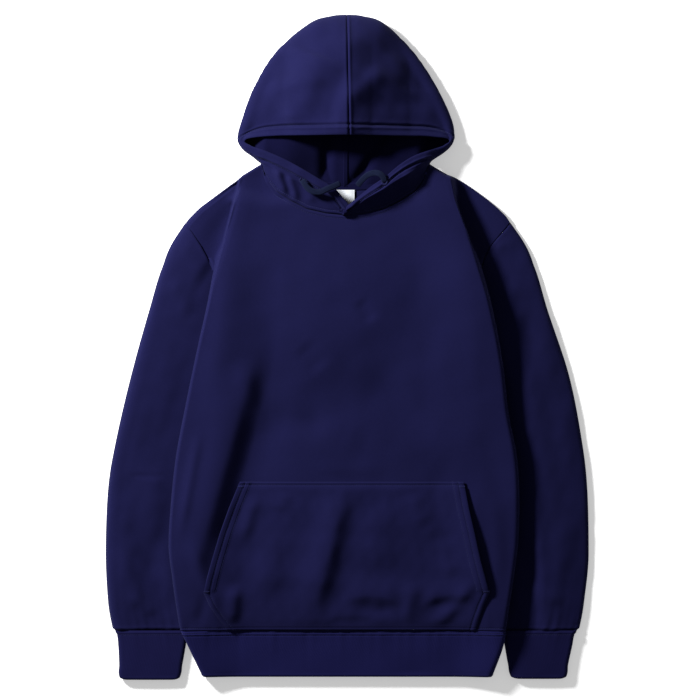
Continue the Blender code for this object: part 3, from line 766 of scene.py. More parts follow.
# Front: both halves side by side, then waves, the neckline's roll and the hem's grooves along its normals.
def frontGrid():
    hem, shoulder = bodySet["hemY"], bodySet["shoulderY"]
    baseY = hem + (shoulder - hem) * edgeMarks(shoulder - hem, *frontSet["marks"])
    left, right = (
        frontHalf(side, baseY, np.linspace(0, 1, frontSet["columns"]), sideMarks)
        for side in ("left", "right")
    )
    grid = np.concatenate([left[:, ::-1], right[:, 1:]], axis=1)
    face = normals(grid)
    x, y = grid[..., 0], grid[..., 1]
    level = upwards(face)
    fromTop = lengths(grid[::-1], 0)[::-1]
    fromHem = lengths(grid, 0)
    calmTop, calmHem = frontSet["calm"]
    wave = waves(x, y, frontSet["waves"]) * smooth(fromTop / calmTop)
    wave += gathers(x, fromHem, *frontSet["gathers"]) * smooth(fromHem / calmHem)
    past, run = frontSet["neckSpread"]
    neck = smooth((bodySet["neckOut"] + past - np.abs(x - bodySet["middleX"])) / run)
    neck = neck * (y > frontSet["neckY"])
    seams = neck * seamRelief(frontSet["neckline"], fromTop) + seamRelief(frontSet["hem"], fromHem)
    return grid + face * (wave * level + seams)[..., None]


backSet = {"marks": (8, 2.0, 90), "columns": 60, "neckShare": 0.515}


# Back from its middle to one edge: the same rows and bend, flat but for the rise over the sleeve.
def backHalf(side, baseY, columns):
    base = baseY[:, None]
    neckShare = backSet["neckShare"]
    past = (columns - neckShare) / (1 - neckShare)
    shoulder = bodySet["neckOut"] + past * (bodySet["shoulderOut"] - bodySet["neckOut"])
    out = np.where(past > 0, shoulder, columns * bodySet["neckOut"] / neckShare)
    swell = straight(backSwell, side, out, by="out") * (out > bodySet["neckOut"])
    y = base + topRise(base) * (straight(backTop, "y", out, by="out") + swell - bodySet["shoulderY"])
    onShelf = base > bodySet["underarmY"]
    edge = np.where(onShelf, straight(armholeRows, side, base), through(bodyRows, side, base))
    spread = (1 - topRise(base)) * columns + topRise(base) * out / bodySet["shoulderOut"]
    x = bodySet["middleX"] + (edge - bodySet["middleX"]) * spread
    return np.stack([x, y, sleeveLift(x, y)], axis=-1)


def backGrid():
    hem, shoulder = bodySet["hemY"], bodySet["shoulderY"]
    baseY = hem + (shoulder - hem) * edgeMarks(shoulder - hem, *backSet["marks"])
    columns = np.unique(np.concatenate([np.linspace(0, 1, backSet["columns"]), [backSet["neckShare"]]]))
    left, right = (backHalf(side, baseY, columns) for side in ("left", "right"))
    return np.concatenate([left[:, ::-1], right[:, 1:]], axis=1)


front, back = frontGrid(), backGrid()
addSheet(
    "front_panel_cloth", "front_panel", front, fleece, bodySet["wall"],
)
addSheet(
    "back_panel_cloth", "back_panel", back[:, ::-1], fleece, bodySet["wall"],
)

# sleeve sections from the armhole to the cuff seam: outer edge, inner edge, thickness
sleeveRows = {
    "left": table(
        "outX outY inX inY thick",
        (-222, 172, -117.5, -24, 11.5),
        (-253, 115, -122.8, -52, 12),
        (-273.6, 49, -131, -79, 12.2),
        (-298, -39, -143.5, -128, 12.2),
        (-318.8, -128, -158.5, -190, 12),
        (-329.6, -194, -172.5, -245, 12),
        (-333, -282, -186.5, -300, 12),
        (-330, -348, -203, -355, 12),
        (-325, -380, -213, -381, 12),
        (-321.2, -389.9, -217.6, -389.9, 11.5),
    ),
    "right": table(
        "outX outY inX inY thick",
        (224.8, 172, 117.5, -24, 11.5),
        (256.8, 115, 122.8, -52, 12),
        (277.5, 49, 131, -79, 12.2),
        (306.5, -39, 143.5, -128, 12.2),
        (324, -128, 158, -190, 12),
        (331.5, -194, 171, -245, 12),
        (333.5, -282, 184, -300, 12),
        (327.5, -348, 199, -355, 12),
        (322.2, -380, 206, -381, 12),
        (318.4, -389.9, 210, -389.9, 11.5),
    ),
}
# how far each sleeve's top rises over or sinks below its thickness, from the outer edge to the inner one
sleeveDome = {
    "left": table(
        "at rise",
        (0, -4.6), (0.025, -1.2), (0.05, 0.4), (0.14, 0.8), (0.3, -1.6), (0.45, -4.4), (0.58, -6.2),
        (1, -6.4),
    ),
    "right": table(
        "at rise",
        (0, -5.6), (0.03, -4.0), (0.1, -2.4), (0.2, -0.8), (0.32, 1.0), (0.42, 1.0), (0.55, -2.6),
        (1, -6.4),
    ),
}
sleeveFolds = {
    "left": table(
        "x1 y1 x2 y2 sun lee height bow",
        (-232, 150, -196, 96, 8, 10, 0.9, 0),
        (-250, 96, -214, 40, 12, 12, 1.9, 4),
        (-268, 60, -292, -120, 26, 22, 1.9, 0),
        (-240, 20, -262, -130, 16, 18, 2.1, 0),
        (-310, -110, -296, -220, 16, 20, -1.7, 0),
        (-262, -150, -282, -290, 18, 14, 2.1, 6),
        (-304, -176.5, -246, -177.5, 3, 3, -0.9, 0),
        (-306, -232, -258, -330, 14, 18, -2.7, 6),
        (-318, -270, -286, -366, 12, 10, 2.3, 4),
        (-252, -262, -236, -356, 12, 12, 2.1, -3),
        (-300, -338, -262, -372, 9, 8, 1.7, 0),
    ),
    "right": table(
        "x1 y1 x2 y2 sun lee height bow",
        (196, 136, 236, 148, 9, 8, 1.0, 0),
        (214, 96, 246, 20, 14, 16, 2.1, 0),
        (262, 74, 286, -60, 18, 16, 2.3, 0),
        (238, -20, 262, -150, 18, 22, 1.7, 0),
        (296, -60, 310, -190, 16, 14, 2.1, 0),
        (252, -180, 270, -310, 20, 16, 1.9, -4),
        (306, -220, 292, -330, 12, 16, 1.9, 0),
        (232, -250, 262, -352, 14, 14, -2.1, 0),
        (246, -318, 302, -352, 10, 10, 1.9, 6),
        (224, -330, 250, -376, 9, 9, 1.7, 0),
    ),
}
cuffRows = {
    "left": table(
        "y outer inner thick",
        (-457.8, -310.3, -234, 10.6),
        (-454, -313.8, -230.5, 10.8),
        (-437, -314.3, -227, 11),
        (-412, -315.5, -222.5, 11.2),
        (-394, -318, -219.5, 11.2),
        (-389.8, -320.4, -217.8, 11.2),
    ),
    "right": table(
        "y outer inner thick",
        (-456.5, 299, 230, 10.6),
        (-453, 302.5, 226, 10.8),
        (-437, 305, 222, 11),
        (-412, 310.5, 217.5, 11.2),
        (-394, 314.6, 214, 11.2),
        (-389.8, 317.6, 211.8, 11.2),
    ),
}


# A flattened tube's ring: along the top, round the far edge, back along the floor, round the near edge.
def flatRing(width, thick, over, under, turn):
    radius = thick / 2
    run = width - 2 * radius
    angles = np.linspace(np.pi / 2, -np.pi / 2, turn + 1)[1:-1]
    top = radius + run * np.linspace(0, 1, over + 1)
    far = width - radius + radius * np.cos(angles)
    bottom = width - radius - run * np.linspace(0, 1, under + 1)
    near = radius - radius * np.cos(angles)
    across = np.concatenate([top, far, bottom, near], axis=1)
    rise = 0.5 + 0.5 * np.sin(angles)
    up = np.concatenate([np.ones(over + 1), rise, np.zeros(under + 1), rise[::-1]])
    return across, up


sleeveSet = {
    "length": 580, "marks": (9, 1.1, 165), "ring": (62, 22, 12),  # points over, under and round each edge
    "setBack": (0.5, 0.3, 0.05), "bulge": (2.6, 0.12),
    "shown": (0.02, 0.1, 0.23, 0.09), "hidden": (0.24, 0.08), "headReach": 0.7,
    "headRise": {"left": 1.2, "right": -0.6}, "headSink": 2.2,
    "waves": ((80, 0.5, 11), (30, 0.18, 12)), "calm": (25, 14),
    "gathers": {"left": (17, 0.75, 22, 13), "right": (17, 0.75, 22, 14)}, "calmGathers": 5,
    "cuffSeam": ((-0.9, 0, 1.6), (0.5, 4, 2.5)), "headSeam": ((-0.8, 0, 1.4),),
}


# Sleeve: rings along the sections, bowed to the armhole at the head, a soft dome and folds on the top.
def sleeveGrid(side):
    rows = sleeveRows[side]
    last = len(rows["thick"]) - 1
    sections = dict(rows, at=np.arange(last + 1.0))
    station = last * edgeMarks(sleeveSet["length"], *sleeveSet["marks"])[:, None]
    ox, oy, ix, iy, thick = (through(sections, name, station, by="at") for name in rows)
    width = np.hypot(ix - ox, iy - oy)
    across, up = flatRing(width, thick, *sleeveSet["ring"])
    share = across / width
    x, y = ox + (ix - ox) * share, oy + (iy - oy) * share
    firstX = rows["outX"][0] + (rows["inX"][0] - rows["outX"][0]) * share
    firstY = rows["outY"][0] + (rows["inY"][0] - rows["outY"][0]) * share
    bow = straight(armholeRows, side, firstY) - firstX
    setBack, more, run = sleeveSet["setBack"]
    setBack = setBack + more * np.exp(-share / run)
    x = x + bow * np.clip(1 - station, 0, 1) + outward(side) * setBack * np.exp(-station)
    bulge, run = sleeveSet["bulge"]
    x = x + outward(side) * bulge * np.sin(np.pi * np.clip(station, 0, 1)) * np.exp(-share / run)
    start, run, end, endRun = sleeveSet["shown"]
    shown = smooth((share - start) / run) * (1 - smooth((share - end) / endRun))
    start, run = sleeveSet["hidden"]
    hidden = smooth((share - start) / run)
    atSeam = np.exp(-((station / sleeveSet["headReach"]) ** 2))
    dome = through(sleeveDome[side], "rise", share, by="at")
    head = sleeveSet["headRise"][side] * shown - sleeveSet["headSink"] * hidden
    z = up * (thick + dome + atSeam * head)
    grid = np.stack([x, y, z], axis=-1)
    turn = slice(None, None, -1) if side == "left" else slice(None)
    grid = grid[turn]
    face = normals(grid, around=True)
    level = upwards(face)
    x, y = grid[..., 0], grid[..., 1]
    far = lengths(grid, 0)
    fromCuff, fromHead = (far, far[-1:] - far) if side == "left" else (far[-1:] - far, far)
    calmCuff, calmHead = sleeveSet["calm"]
    wave = foldHeight(sleeveFolds[side], x, y) + waves(x, y, sleeveSet["waves"])
    wave = wave * smooth(fromCuff / calmCuff) * smooth(fromHead / calmHead)
    around = lengths(wrapped(grid), 1)[:, :-1]
    small = gathers(around, fromCuff, *sleeveSet["gathers"][side])
    wave += small * smooth(fromCuff / sleeveSet["calmGathers"])
    seam = seamRelief(sleeveSet["cuffSeam"], fromCuff) + seamRelief(sleeveSet["headSeam"], fromHead)
    return grid + face * ((wave + seam) * level + seam * (1 - level) * (face[..., 2] > -0.5))[..., None]


cuffSet = {
    "rows": 68, "ring": (50, 22, 12), "dome": (0.6, 0.92),
    "waves": ((46, 0.35, 21),), "gathers": (15, 0.35, 14, 22), "calm": 8,
    "seam": ((-0.6, 0, 1.4), (0.5, 3.2, 1.6), (-0.4, 5.6, 0.9)), "fold": ((0.3, 3.0, 1.6), (-0.9, 0, 1.2)),
    "stitchAt": 5.6, "stitched": 74,
}


# Cuff: flat rings from the folded end to the seam, domed by a power of the sine of their width.
def cuffGrid(side):
    rows = cuffRows[side]
    y = np.linspace(rows["y"][0], rows["y"][-1], cuffSet["rows"])[:, None]
    outer, inner, thick = (through(rows, name, y) for name in ("outer", "inner", "thick"))
    across, up = flatRing(np.abs(inner - outer), thick, *cuffSet["ring"])
    x = outer + np.sign(inner - outer) * across
    share = np.clip(across / np.abs(inner - outer), 0, 1)
    power, level = cuffSet["dome"]
    z = up * (thick + np.sin(np.pi * share) ** power - level)
    grid = np.stack([x, np.broadcast_to(y, x.shape), z], axis=-1)
    turn = slice(None, None, -1) if side == "left" else slice(None)
    grid = grid[::-1][turn]
    face = normals(grid, around=True)
    y = grid[..., 1]
    fromSeam, fromEnd = rows["y"][-1] - y, y - rows["y"][0]
    level = upwards(face)
    around = lengths(wrapped(grid), 1)[:, :-1]
    wave = waves(grid[..., 0], y, cuffSet["waves"]) + gathers(around, fromSeam, *cuffSet["gathers"])
    wave = wave * level * smooth(fromEnd / cuffSet["calm"])
    edge = seamRelief(cuffSet["seam"], fromSeam) + seamRelief(cuffSet["fold"], fromEnd)
    return grid + face * (wave + edge * (face[..., 2] > -0.5))[..., None]


bandSet = {
    "marks": (12, 0.9, 40), "columns": 66, "sideColumns": 15, "backColumns": 48, "backInset": 2.4,
    "waves": ((70, 0.4, 32),), "gathers": (19, 0.5, 20, 31), "calm": 10,
    "seam": ((-0.8, 0, 1.0), (-0.6, 2.7, 0.7), (-0.6, 6.3, 0.7), (0.4, 4.5, 1.0)),
    "fold": ((0.25, 3, 1.5), (-0.9, 0, 1.3)),
}


# Waistband: the body's own last shape carried down to the folded end, the back flat on the floor.
def bandGrid():
    topY, endY = bodySet["hemY"] - bodySet["endGap"], bodySet["bandEndY"]
    y = (topY + (endY - topY) * edgeMarks(topY - endY, *bandSet["marks"]))[:, None]
    halves = {}
    for side in ("left", "right"):
        edgeX = through(bodyRows, side, y)
        crestX = edgeX - outward(side) * bodySet["foldRound"][side]
        x = bodySet["middleX"] + (crestX - bodySet["middleX"]) * np.linspace(0, 1, bandSet["columns"])
        shares = np.linspace(0, 1, bandSet["sideColumns"])[1:]
        sideX, sideZ = sideCurve(side, y, edgeX, seamHeight(edgeX, y), shares)
        x, z = np.concatenate([x, sideX], axis=1), np.concatenate([frontHeight(x, y), sideZ], axis=1)
        halves[side] = np.stack([x, z], axis=-1)
    right, left = (
        through(bodyRows, side, y) - outward(side) * bandSet["backInset"] for side in ("right", "left")
    )
    backX = right + (left - right) * np.linspace(0, 1, bandSet["backColumns"])
    back = np.stack([backX, sleeveLift(backX, y)], axis=-1)
    ring = np.concatenate([halves["left"][:, ::-1], halves["right"][:, 1:], back], axis=1)
    grid = np.stack([ring[..., 0], np.broadcast_to(y, ring.shape[:2]), ring[..., 1]], axis=-1)[::-1]
    face = normals(grid, around=True)
    y = grid[..., 1]
    fromSeam, fromEnd = topY - y, y - endY
    level = upwards(face)
    wave = gathers(grid[..., 0], fromSeam, *bandSet["gathers"]) + waves(grid[..., 0], y, bandSet["waves"])
    wave = wave * level * smooth(fromEnd / bandSet["calm"])
    edge = seamRelief(bandSet["seam"], fromSeam) + seamRelief(bandSet["fold"], fromEnd)
    return grid + face * (wave + edge * (face[..., 2] > 0))[..., None]


sleeves, cuffs = {}, {}
for side in ("left", "right"):
    sleeves[side], cuffs[side] = sleeveGrid(side), cuffGrid(side)
    addSheet(
        f"sleeve_{side}_cloth", f"sleeve_{side}", sleeves[side], fleece, bodySet["wall"],
        around=True,
    )
    addSheet(
        f"cuff_{side}_rib", f"cuff_{side}", cuffs[side], ribKnit, bodySet["ribWall"],
        around=True,
    )
# the waistband takes the rib copy lightened as painted light
band = bandGrid()
addSheet(
    "waistband_rib", "waistband", band, bandRibPaintedLight, bodySet["ribWall"],
    around=True,
)

# Hood sections from the crown seam round to the front end: hem edge, fold or crest, place along the
# neck seam (0 back, 1 neck point, 2 front) with its height, how far folded under, rise of the dome.
hoodRows = {
    "left": table(
        "hx hy hz ex ey ez seam nz under rise",
        (3.0, 289.5, 50, -0.2, 458.5, 11, 0, 0, 1, 4),
        (-12, 289.5, 49.7, -21, 456.6, 11, 0.08, 0, 1, 4),
        (-30, 289.5, 49, -52, 446.5, 11, 0.19, 0, 1, 4),
        (-65, 289.5, 45, -98.5, 406.5, 11, 0.35, 0, 1, 4),
        (-98, 289, 38, -128.5, 358, 11, 0.52, 0, 1, 3),
        (-124, 287, 30, -145, 314, 10, 0.69, 0, 1, 2),
        (-140, 283.5, 22, -151, 289, 9.5, 0.85, 0, 1, 1),
        (-131, 276.5, 24, -143.5, 272.5, 10, 0.985, 1.5, 0.8, 0),
        (-120, 272.5, 26.5, -127.5, 262.5, 20, 1, 13, 0.3, 0),
        (-109, 268.5, 28, -110, 253, 24, 1.07, 19, 0, 0),
        (-85.5, 258, 30, -89, 237, 28, 1.19, 21, 0, 0),
        (-65, 247, 31, -67, 227, 29, 1.37, 21.5, 0, 0),
        (-43, 234, 31, -44, 215, 29, 1.58, 21.5, 0, 0),
        (-18, 218.5, 28.5, -19, 204, 26.5, 1.82, 21.5, 0, 0),
        (0, 199.5, 25, -1, 193, 24.2, 1.99, 21.5, 0, 0),
        (8, 190, 23, 7, 187.5, 22.6, 2.07, 21.5, 0, 0),
    ),
    "right": table(
        "hx hy hz ex ey ez seam nz under rise",
        (3.2, 289.5, 50, 0, 458.5, 11, 0.004, 0, 1, 4),
        (17, 289.5, 49.7, 21, 456.6, 11, 0.08, 0, 1, 4),
        (35, 289.5, 48, 51, 446.5, 11, 0.19, 0, 1, 3),
        (69, 289.5, 43, 92.5, 406, 11, 0.35, 0, 1, 2),
        (100.5, 289.5, 36, 124, 358, 11, 0.52, 0, 1, 1),
        (125.5, 287.5, 28, 144, 315, 10, 0.69, 0, 1, 1),
        (140.5, 284.5, 22, 148, 291, 9.5, 0.85, 0, 1, 1),
        (133, 277.5, 24, 139, 274, 10, 0.985, 1.5, 0.8, 0),
        (123, 273.5, 26.5, 125, 263, 20, 1, 13.5, 0.3, 0),
        (112, 270, 31, 105, 253.5, 31, 1.07, 19, 0, 0),
        (91, 262, 35, 86, 239, 39, 1.19, 21.5, 0, 0),
        (72, 250, 37.5, 67, 228, 42.5, 1.37, 22, 0, 0),
        (51, 232.5, 38.5, 47, 215, 43, 1.58, 22, 0, 0),
        (30, 218, 37, 25, 204, 40.5, 1.8, 23.5, 0, 0),
        (3, 195.5, 32, -1, 191, 32, 2.04, 26.8, 0, 0),
    ),
}
hoodSet = {
    "wall": 2.4, "hem": 14.2, "stitchAt": 13, "hemRise": 1.3, "neckStitchAt": 5.0,
    "near": (0.3, 10), "rows": 128, "steps": 61, "marks": (20, 8, 84),
    "reach": 0.4, "over": 0.85, "under": 1.4,
    "lying": (274, 28), "crest": 9.5, "fall": {"left": (0.3, 0.26), "right": (0.37, 0.2)},
    "tent": (4, 35, 55), "tentTop": (450, 50),
    "waves": (70, 1.1, 41), "smallWaves": (26, 0.34, 42), "calm": (30, 40), "gathers": (13, 0.35, 8, 43),
    "hemSeam": ((-2.2, 13.6, 1.8), (-0.6, 0, 1.4), (0.9, 10, 1.8), (0.5, 18.2, 1.8)),
    "seamDepth": 1.1, "seamRoll": {"left": 0.3, "right": 0.9}, "seamFade": (225, 10), "seamReach": 60,
    "neckline": ((0.9, 2.8, 1.5), (-0.5, 0, 0.8), (-0.5, 5, 0.9)),
    "innerRise": (0.30, 0.24), "innerTop": {"left": (22, 136), "right": (14, 120)}, "innerEnd": (288, 34),
}
domeFolds = table(
    "x1 y1 x2 y2 sun lee height bow",
    (-112, 350, -4, 372, 36, 12, 2.2, -4),
    (-104, 426, 22, 366, 6, 13, 6.0, 2),
    (-84, 276, -46, 406, 22, 30, 5.4, 0),
    (-44, 276, 8, 412, 22, 13, -4.6, 0),
    (-112, 372, -66, 300, 12, 14, 3.0, 0),
    (-30, 366, -90, 308, 14, 16, 1.6, 0),
    (-92, 344, -34, 296, 12, 14, -1.8, 0),
    (-72, 444, -116, 372, 18, 18, 1.6, 4),
    (-8, 330, 54, 392, 9, 13, 2.5, 3),
    (20, 386, 106, 340, 9, 18, 2.6, 4),
    (70, 470, 112, 350, 26, 26, -2.4, 0),
    (12, 440, 60, 400, 12, 26, 1.8, 3),
    (24, 366, 84, 318, 14, 14, -1.6, 0),
    (58, 434, 116, 336, 24, 26, 1.4, -4),
    (-18, 326, -24, 300, 8, 8, -1.0, 0),
)
innerFolds = table(
    "x1 y1 x2 y2 sun lee height bow",
    (-29, 120, -27, 480, 9, 7, -7.5, 0),
    (-32, 151, 98, 371, 8, 7, -7.0, 0),
    (-4, 150, -3, 400, 5, 6, 0.5, 0),
    (-86, 120, -80, 480, 20, 26, 3, 0),
    (66, 120, 92, 480, 18, 34, 3.5, 0),
)
flapFolds = table(
    "x1 y1 x2 y2 sun lee height bow",
    (-98, 250, -82, 206, 6, 5, 3.8, 0),
    (-90, 246, -74, 202, 4, 4, -2.4, 0),
    (-82, 242, -66, 198, 6, 5, 3.6, 0),
    (-52, 226, -48, 196, 8, 6, 1.8, 0),
    (60, 228, 52, 200, 8, 6, 1.6, 0),
    (88, 244, 80, 216, 7, 5, 1.6, 0),
)


def neckPlace(side, seam):
    out = bodySet["neckOut"] * np.where(seam < 1, seam, 2 - seam)
    y = np.where(seam < 1, straight(backTop, "y", abs(out), "out"), straight(frontTop, "y", abs(out), "out"))
    return np.stack([bodySet["middleX"] + outward(side) * out, y], axis=-1)


# the hood's edge beside the neck seam, set off square to it towards the neck opening
def neckEdge(side, seam):
    run = neckPlace(side, seam + 0.01) - neckPlace(side, seam - 0.01)
    across = np.stack([-run[..., 1], run[..., 0]], axis=-1) / np.linalg.norm(run, axis=-1, keepdims=True)
    return neckPlace(side, seam) + across * np.sign(across[..., 1:]) * bodySet["neckGap"]


# every section read again at each millimetre near its first and last points and evenly between
def respace(sections, near, tail, count):
    far = lengths(sections, 1)
    start, end = np.arange(0.0, near), np.arange(tail - 1.0, -1, -1)
    middle = near + (far[:, -1:] - near - tail) * np.linspace(0, 1, count)
    marks = np.concatenate([np.broadcast_to(start, (len(far), near)), middle, far[:, -1:] - end], axis=1)
    return np.array([readAt(*section) for section in zip(marks, far, sections)]), marks


# Hood half: each section is two Beziers, hem edge over the outside to the fold, and on to the neck seam.
def hoodGrid(side):
    rows = hoodRows[side]
    last = len(rows["hx"]) - 1
    first, count = hoodSet["near"]
    near, even = np.linspace(0, first, count)[:-1], np.linspace(first, last - 0.1, hoodSet["rows"])
    at = np.concatenate([near, even, [last - 0.05, last]])[:, None]
    stations = dict(rows, at=np.arange(last + 1.0))
    v = {name: through(stations, name, at, by="at") for name in rows}
    hem = np.stack([v["hx"], v["hy"], v["hz"]], axis=-1)
    fold = np.stack([v["ex"], v["ey"], v["ez"]], axis=-1)
    neck = np.concatenate([neckEdge(side, v["seam"]), v["nz"][..., None]], axis=-1)
    under, up = v["under"][..., None], np.array([0, 0, 1.0])
    nearHem = hem + (fold - hem) * (hoodSet["reach"], hoodSet["reach"], 0) + v["rise"][..., None] * up
    overFold = fold + under * hoodSet["over"] * (v["hz"] - v["ez"])[..., None] * up
    overFold = overFold + (1 - under) * (hem - fold) / 3
    underFold = fold - under * hoodSet["under"] * v["ez"][..., None] * up + (1 - under) * (neck - fold) / 3
    level = np.concatenate([np.ones_like(under), np.ones_like(under), 1 - under], axis=-1)
    nearNeck = neck + (fold - neck) / 3 * level
    share = np.linspace(0, 1, hoodSet["steps"])[None, :, None]
    outside = bezier((hem, nearHem, overFold, fold), share)
    curve = np.concatenate([outside, bezier((fold, underFold, nearNeck, neck), share[:, 1:])], axis=1)
    curve[..., 2] = np.maximum(curve[..., 2], 0)
    grid, fromHem = respace(curve, *hoodSet["marks"])
    standing = v["under"] < 0.5
    if side == "right":
        grid, fromHem, standing = grid[::-1], fromHem[::-1], standing[::-1]
    face = normals(grid)
    x, y, z = (grid[..., k] for k in range(3))
    top, below = np.clip(face[..., 2], 0, 1), np.clip(-face[..., 2], 0, 1)
    along = lengths(grid, 0)
    fromCrown = along if side == "left" else along[-1:] - along
    fromNeck = lengths(grid[:, ::-1], 1)[:, ::-1]
    start, run = hoodSet["lying"]
    lying = smooth((y - start) / run)
    fall, more = hoodSet["fall"][side]
    blunt, bend, run = hoodSet["tent"]
    out = np.hypot(x, blunt)
    tent = hoodSet["crest"] - fall * np.minimum(out, bend) - more * np.clip(out - bend, 0, run)
    start, run = hoodSet["tentTop"]
    tent *= smooth((start - y) / run)
    calmFolds, calmWaves = hoodSet["calm"]
    wave = (foldHeight(domeFolds, x, y) * smooth(fromHem / calmFolds) + tent) * lying
    wave += unevenness(x, y, *hoodSet["waves"]) * smooth(fromHem / calmWaves)
    wave += unevenness(x, y, *hoodSet["smallWaves"])
    wave += gathers(along, np.abs(fromHem - hoodSet["hem"]), *hoodSet["gathers"])
    wave += foldHeight(flapFolds, x, y) * (1 - lying) * smooth((fromHem - 16) / 5)
    band = hoodSet["hemRise"] * smooth((hoodSet["hem"] + 0.6 - fromHem) / 1.8)
    band = band + seamRelief(hoodSet["hemSeam"], fromHem)
    crown = hoodSet["seamRoll"][side] * bell(fromCrown, 3, 1.8)
    crown -= hoodSet["seamDepth"] * bell(fromCrown, 0, 1.1)
    start, run = hoodSet["seamFade"]
    crown *= smooth((y - start) / run) * (x * outward(side) < hoodSet["seamReach"]) * top
    neckRoll = seamRelief(hoodSet["neckline"], fromNeck) * standing
    grid = grid + face * (wave * top + band + crown + neckRoll)[..., None]
    rise, more = hoodSet["innerRise"]
    most, widest = hoodSet["innerTop"][side]
    slack = (rise + more * smooth((np.abs(x + 2) - 30) / 50)) * fromNeck
    most = 22 + (most - 22) * smooth(np.abs(x) / 60)
    start, run = hoodSet["innerEnd"]
    slack = most * np.tanh(slack / most)
    slack = slack * smooth((widest - np.abs(x)) / 26)
    slack = slack * (1 - smooth((y - start) / run))
    grid[..., 2] += (foldHeight(innerFolds, x, y) + slack) * below * smooth((12 - z) / 8)
    grid[..., 2] = np.maximum(grid[..., 2], 0)
    return grid


# each hood half's inner faces take the fleece back whose colour is darkened as painted shade
hoods = {}
for side in ("left", "right"):
    hoods[side] = hoodGrid(side)
    addSheet(
        f"hood_{side}_cloth", f"hood_{side}", hoods[side], fleece, hoodSet["wall"],
        back=paintedShadeInside,
    )

# kangaroo pocket: half outlines by height and how far the hand openings stand off the front
pocketRows = table(
    "y left right leftLift rightLift",
    (-388, -163, 176.5, 0, 0),
    (-372, -176, 181, 0.3, 0.4),
    (-352, -189, 188, 0.8, 1.0),
    (-336, -196, 195, 1.6, 2.4),
    (-318, -192, 190, 2.6, 5.6),
    (-290, -184.5, 182.5, 2.8, 7.0),
    (-255, -174, 175, 2.2, 5.6),
    (-220, -161.5, 167, 1.2, 3.0),
    (-184, -147, 160.5, 0, 0),
)
pocketSet = {
    "stand": 1.3, "gap": 0.15, "wall": 2.4, "hem": 16.0, "hemRise": 0.9, "foldAt": -336.0,
    "marks": (10, 0.9, 80), "near": 20, "columns": 118, "lean": 0.94,
    "liftRun": {"left": 52, "right": 44},
    "waves": ((52, 0.45, 51), (24, 0.15, 52)), "calm": (24, 14, 16), "hollow": 0.9,
    "mouth": ((-0.9, 15, 0.9), (-0.8, 7.5, 0.9), (-0.7, 0, 1.4)),
    "sewn": ((0.5, 4, 2), (-0.8, 7.5, 0.9), (-0.8, 0, 1.2)),
    "topSeam": ((0.5, 1.6, 1.4), (-0.8, 4.5, 0.9), (-0.8, 0, 1.0)),
    "hemSeam": ((-0.8, 0, 1.2), (-0.55, 3.6, 0.8)),
}
pocketFolds = table(
    "x1 y1 x2 y2 sun lee height bow",
    (-122, -200, -146, -268, 10, 9, 3.0, 0),
    (-150, -322, -160, -384, 12, 9, 4.2, 0),
    (-10, -346, 82, -352, 18, 9, 3.2, -10),
    (96, -354, 178, -342, 16, 9, 3.2, -10),
    (176, -312, 112, -386, 10, 10, 4.2, 6),
    (90, -318, 82, -382, 10, 12, 3.0, 0),
    (88, -196, 108, -248, 18, 14, 2.5, 0),
    (26, -214, 62, -312, 28, 26, 2.7, 0),
    (-100, -250, -110, -350, 22, 18, 2.3, 0),
    (-84, -196, -96, -226, 10, 10, 1.5, 0),
    (130, -256, 146, -318, 14, 14, 2.3, 0),
    (-30, -376, 40, -376, 6, 6, -1.5, 0),
)


# Pocket: the front's own height moved out by the stand-off, with its own folds, mouths and hems.
def pocketGrid():
    y0, y1 = pocketRows["y"][0], pocketRows["y"][-1]
    y = (y0 + (y1 - y0) * edgeMarks(y1 - y0, *pocketSet["marks"]))[:, None]
    left, right = straight(pocketRows, "left", y), straight(pocketRows, "right", y)
    near = np.arange(0, pocketSet["near"], 1.0)
    middle = left + len(near) + (right - left - 2 * len(near)) * np.linspace(0, 1, pocketSet["columns"])
    x = np.concatenate([left + near, middle, right - near[::-1]], axis=1)
    y = np.broadcast_to(y, x.shape)
    run = pocketSet["liftRun"]
    lift = through(pocketRows, "leftLift", y) * smooth(1 - (x - left) / run["left"])
    lift = lift + through(pocketRows, "rightLift", y) * smooth(1 - (right - x) / run["right"])
    fromSide = np.minimum(x - left, right - x) * pocketSet["lean"]
    fromTop, fromHem = y1 - y, y - y0
    calmSide, calmTop, calmHem = pocketSet["calm"]
    hollow = pocketSet["hollow"]
    wave = foldHeight(pocketFolds, x, y) + waves(x, y, pocketSet["waves"])
    wave *= smooth(fromSide / calmSide + 0.15) * smooth(fromTop / calmTop) * smooth(fromHem / calmHem)
    wave = np.where(wave < 0, -hollow * np.tanh(-wave / hollow), wave)
    mouth = smooth((y - pocketSet["foldAt"] + 4) / 14)
    stand = pocketSet["stand"] * smooth(fromTop / 12) * smooth(fromHem / 16)
    stand = stand * (mouth + (1 - mouth) * smooth(fromSide / 14))
    below = frontHeight(x, y) + waves(x, y, frontSet["waves"])
    z = below + pocketSet["gap"] + stand + pocketSet["wall"] + lift + wave
    grid = np.stack([x, y, z], axis=-1)
    face = normals(grid)
    opening = smooth((y - pocketSet["foldAt"] - 1) / 3)
    hem = pocketSet["hemRise"] * smooth((pocketSet["hem"] + 0.8 - fromSide) / 1.6)
    hem = hem + seamRelief(pocketSet["mouth"], fromSide)
    sewn = seamRelief(pocketSet["sewn"], fromSide)
    topSeam = seamRelief(pocketSet["topSeam"], fromTop)
    hemSeam = seamRelief(pocketSet["hemSeam"], fromHem)
    return grid + face * (hem * opening + sewn * (1 - opening) + topSeam + hemSeam)[..., None]


pocket = pocketGrid()
addSheet(
    "pocket_cloth", "pocket", pocket, fleece, pocketSet["wall"],
)

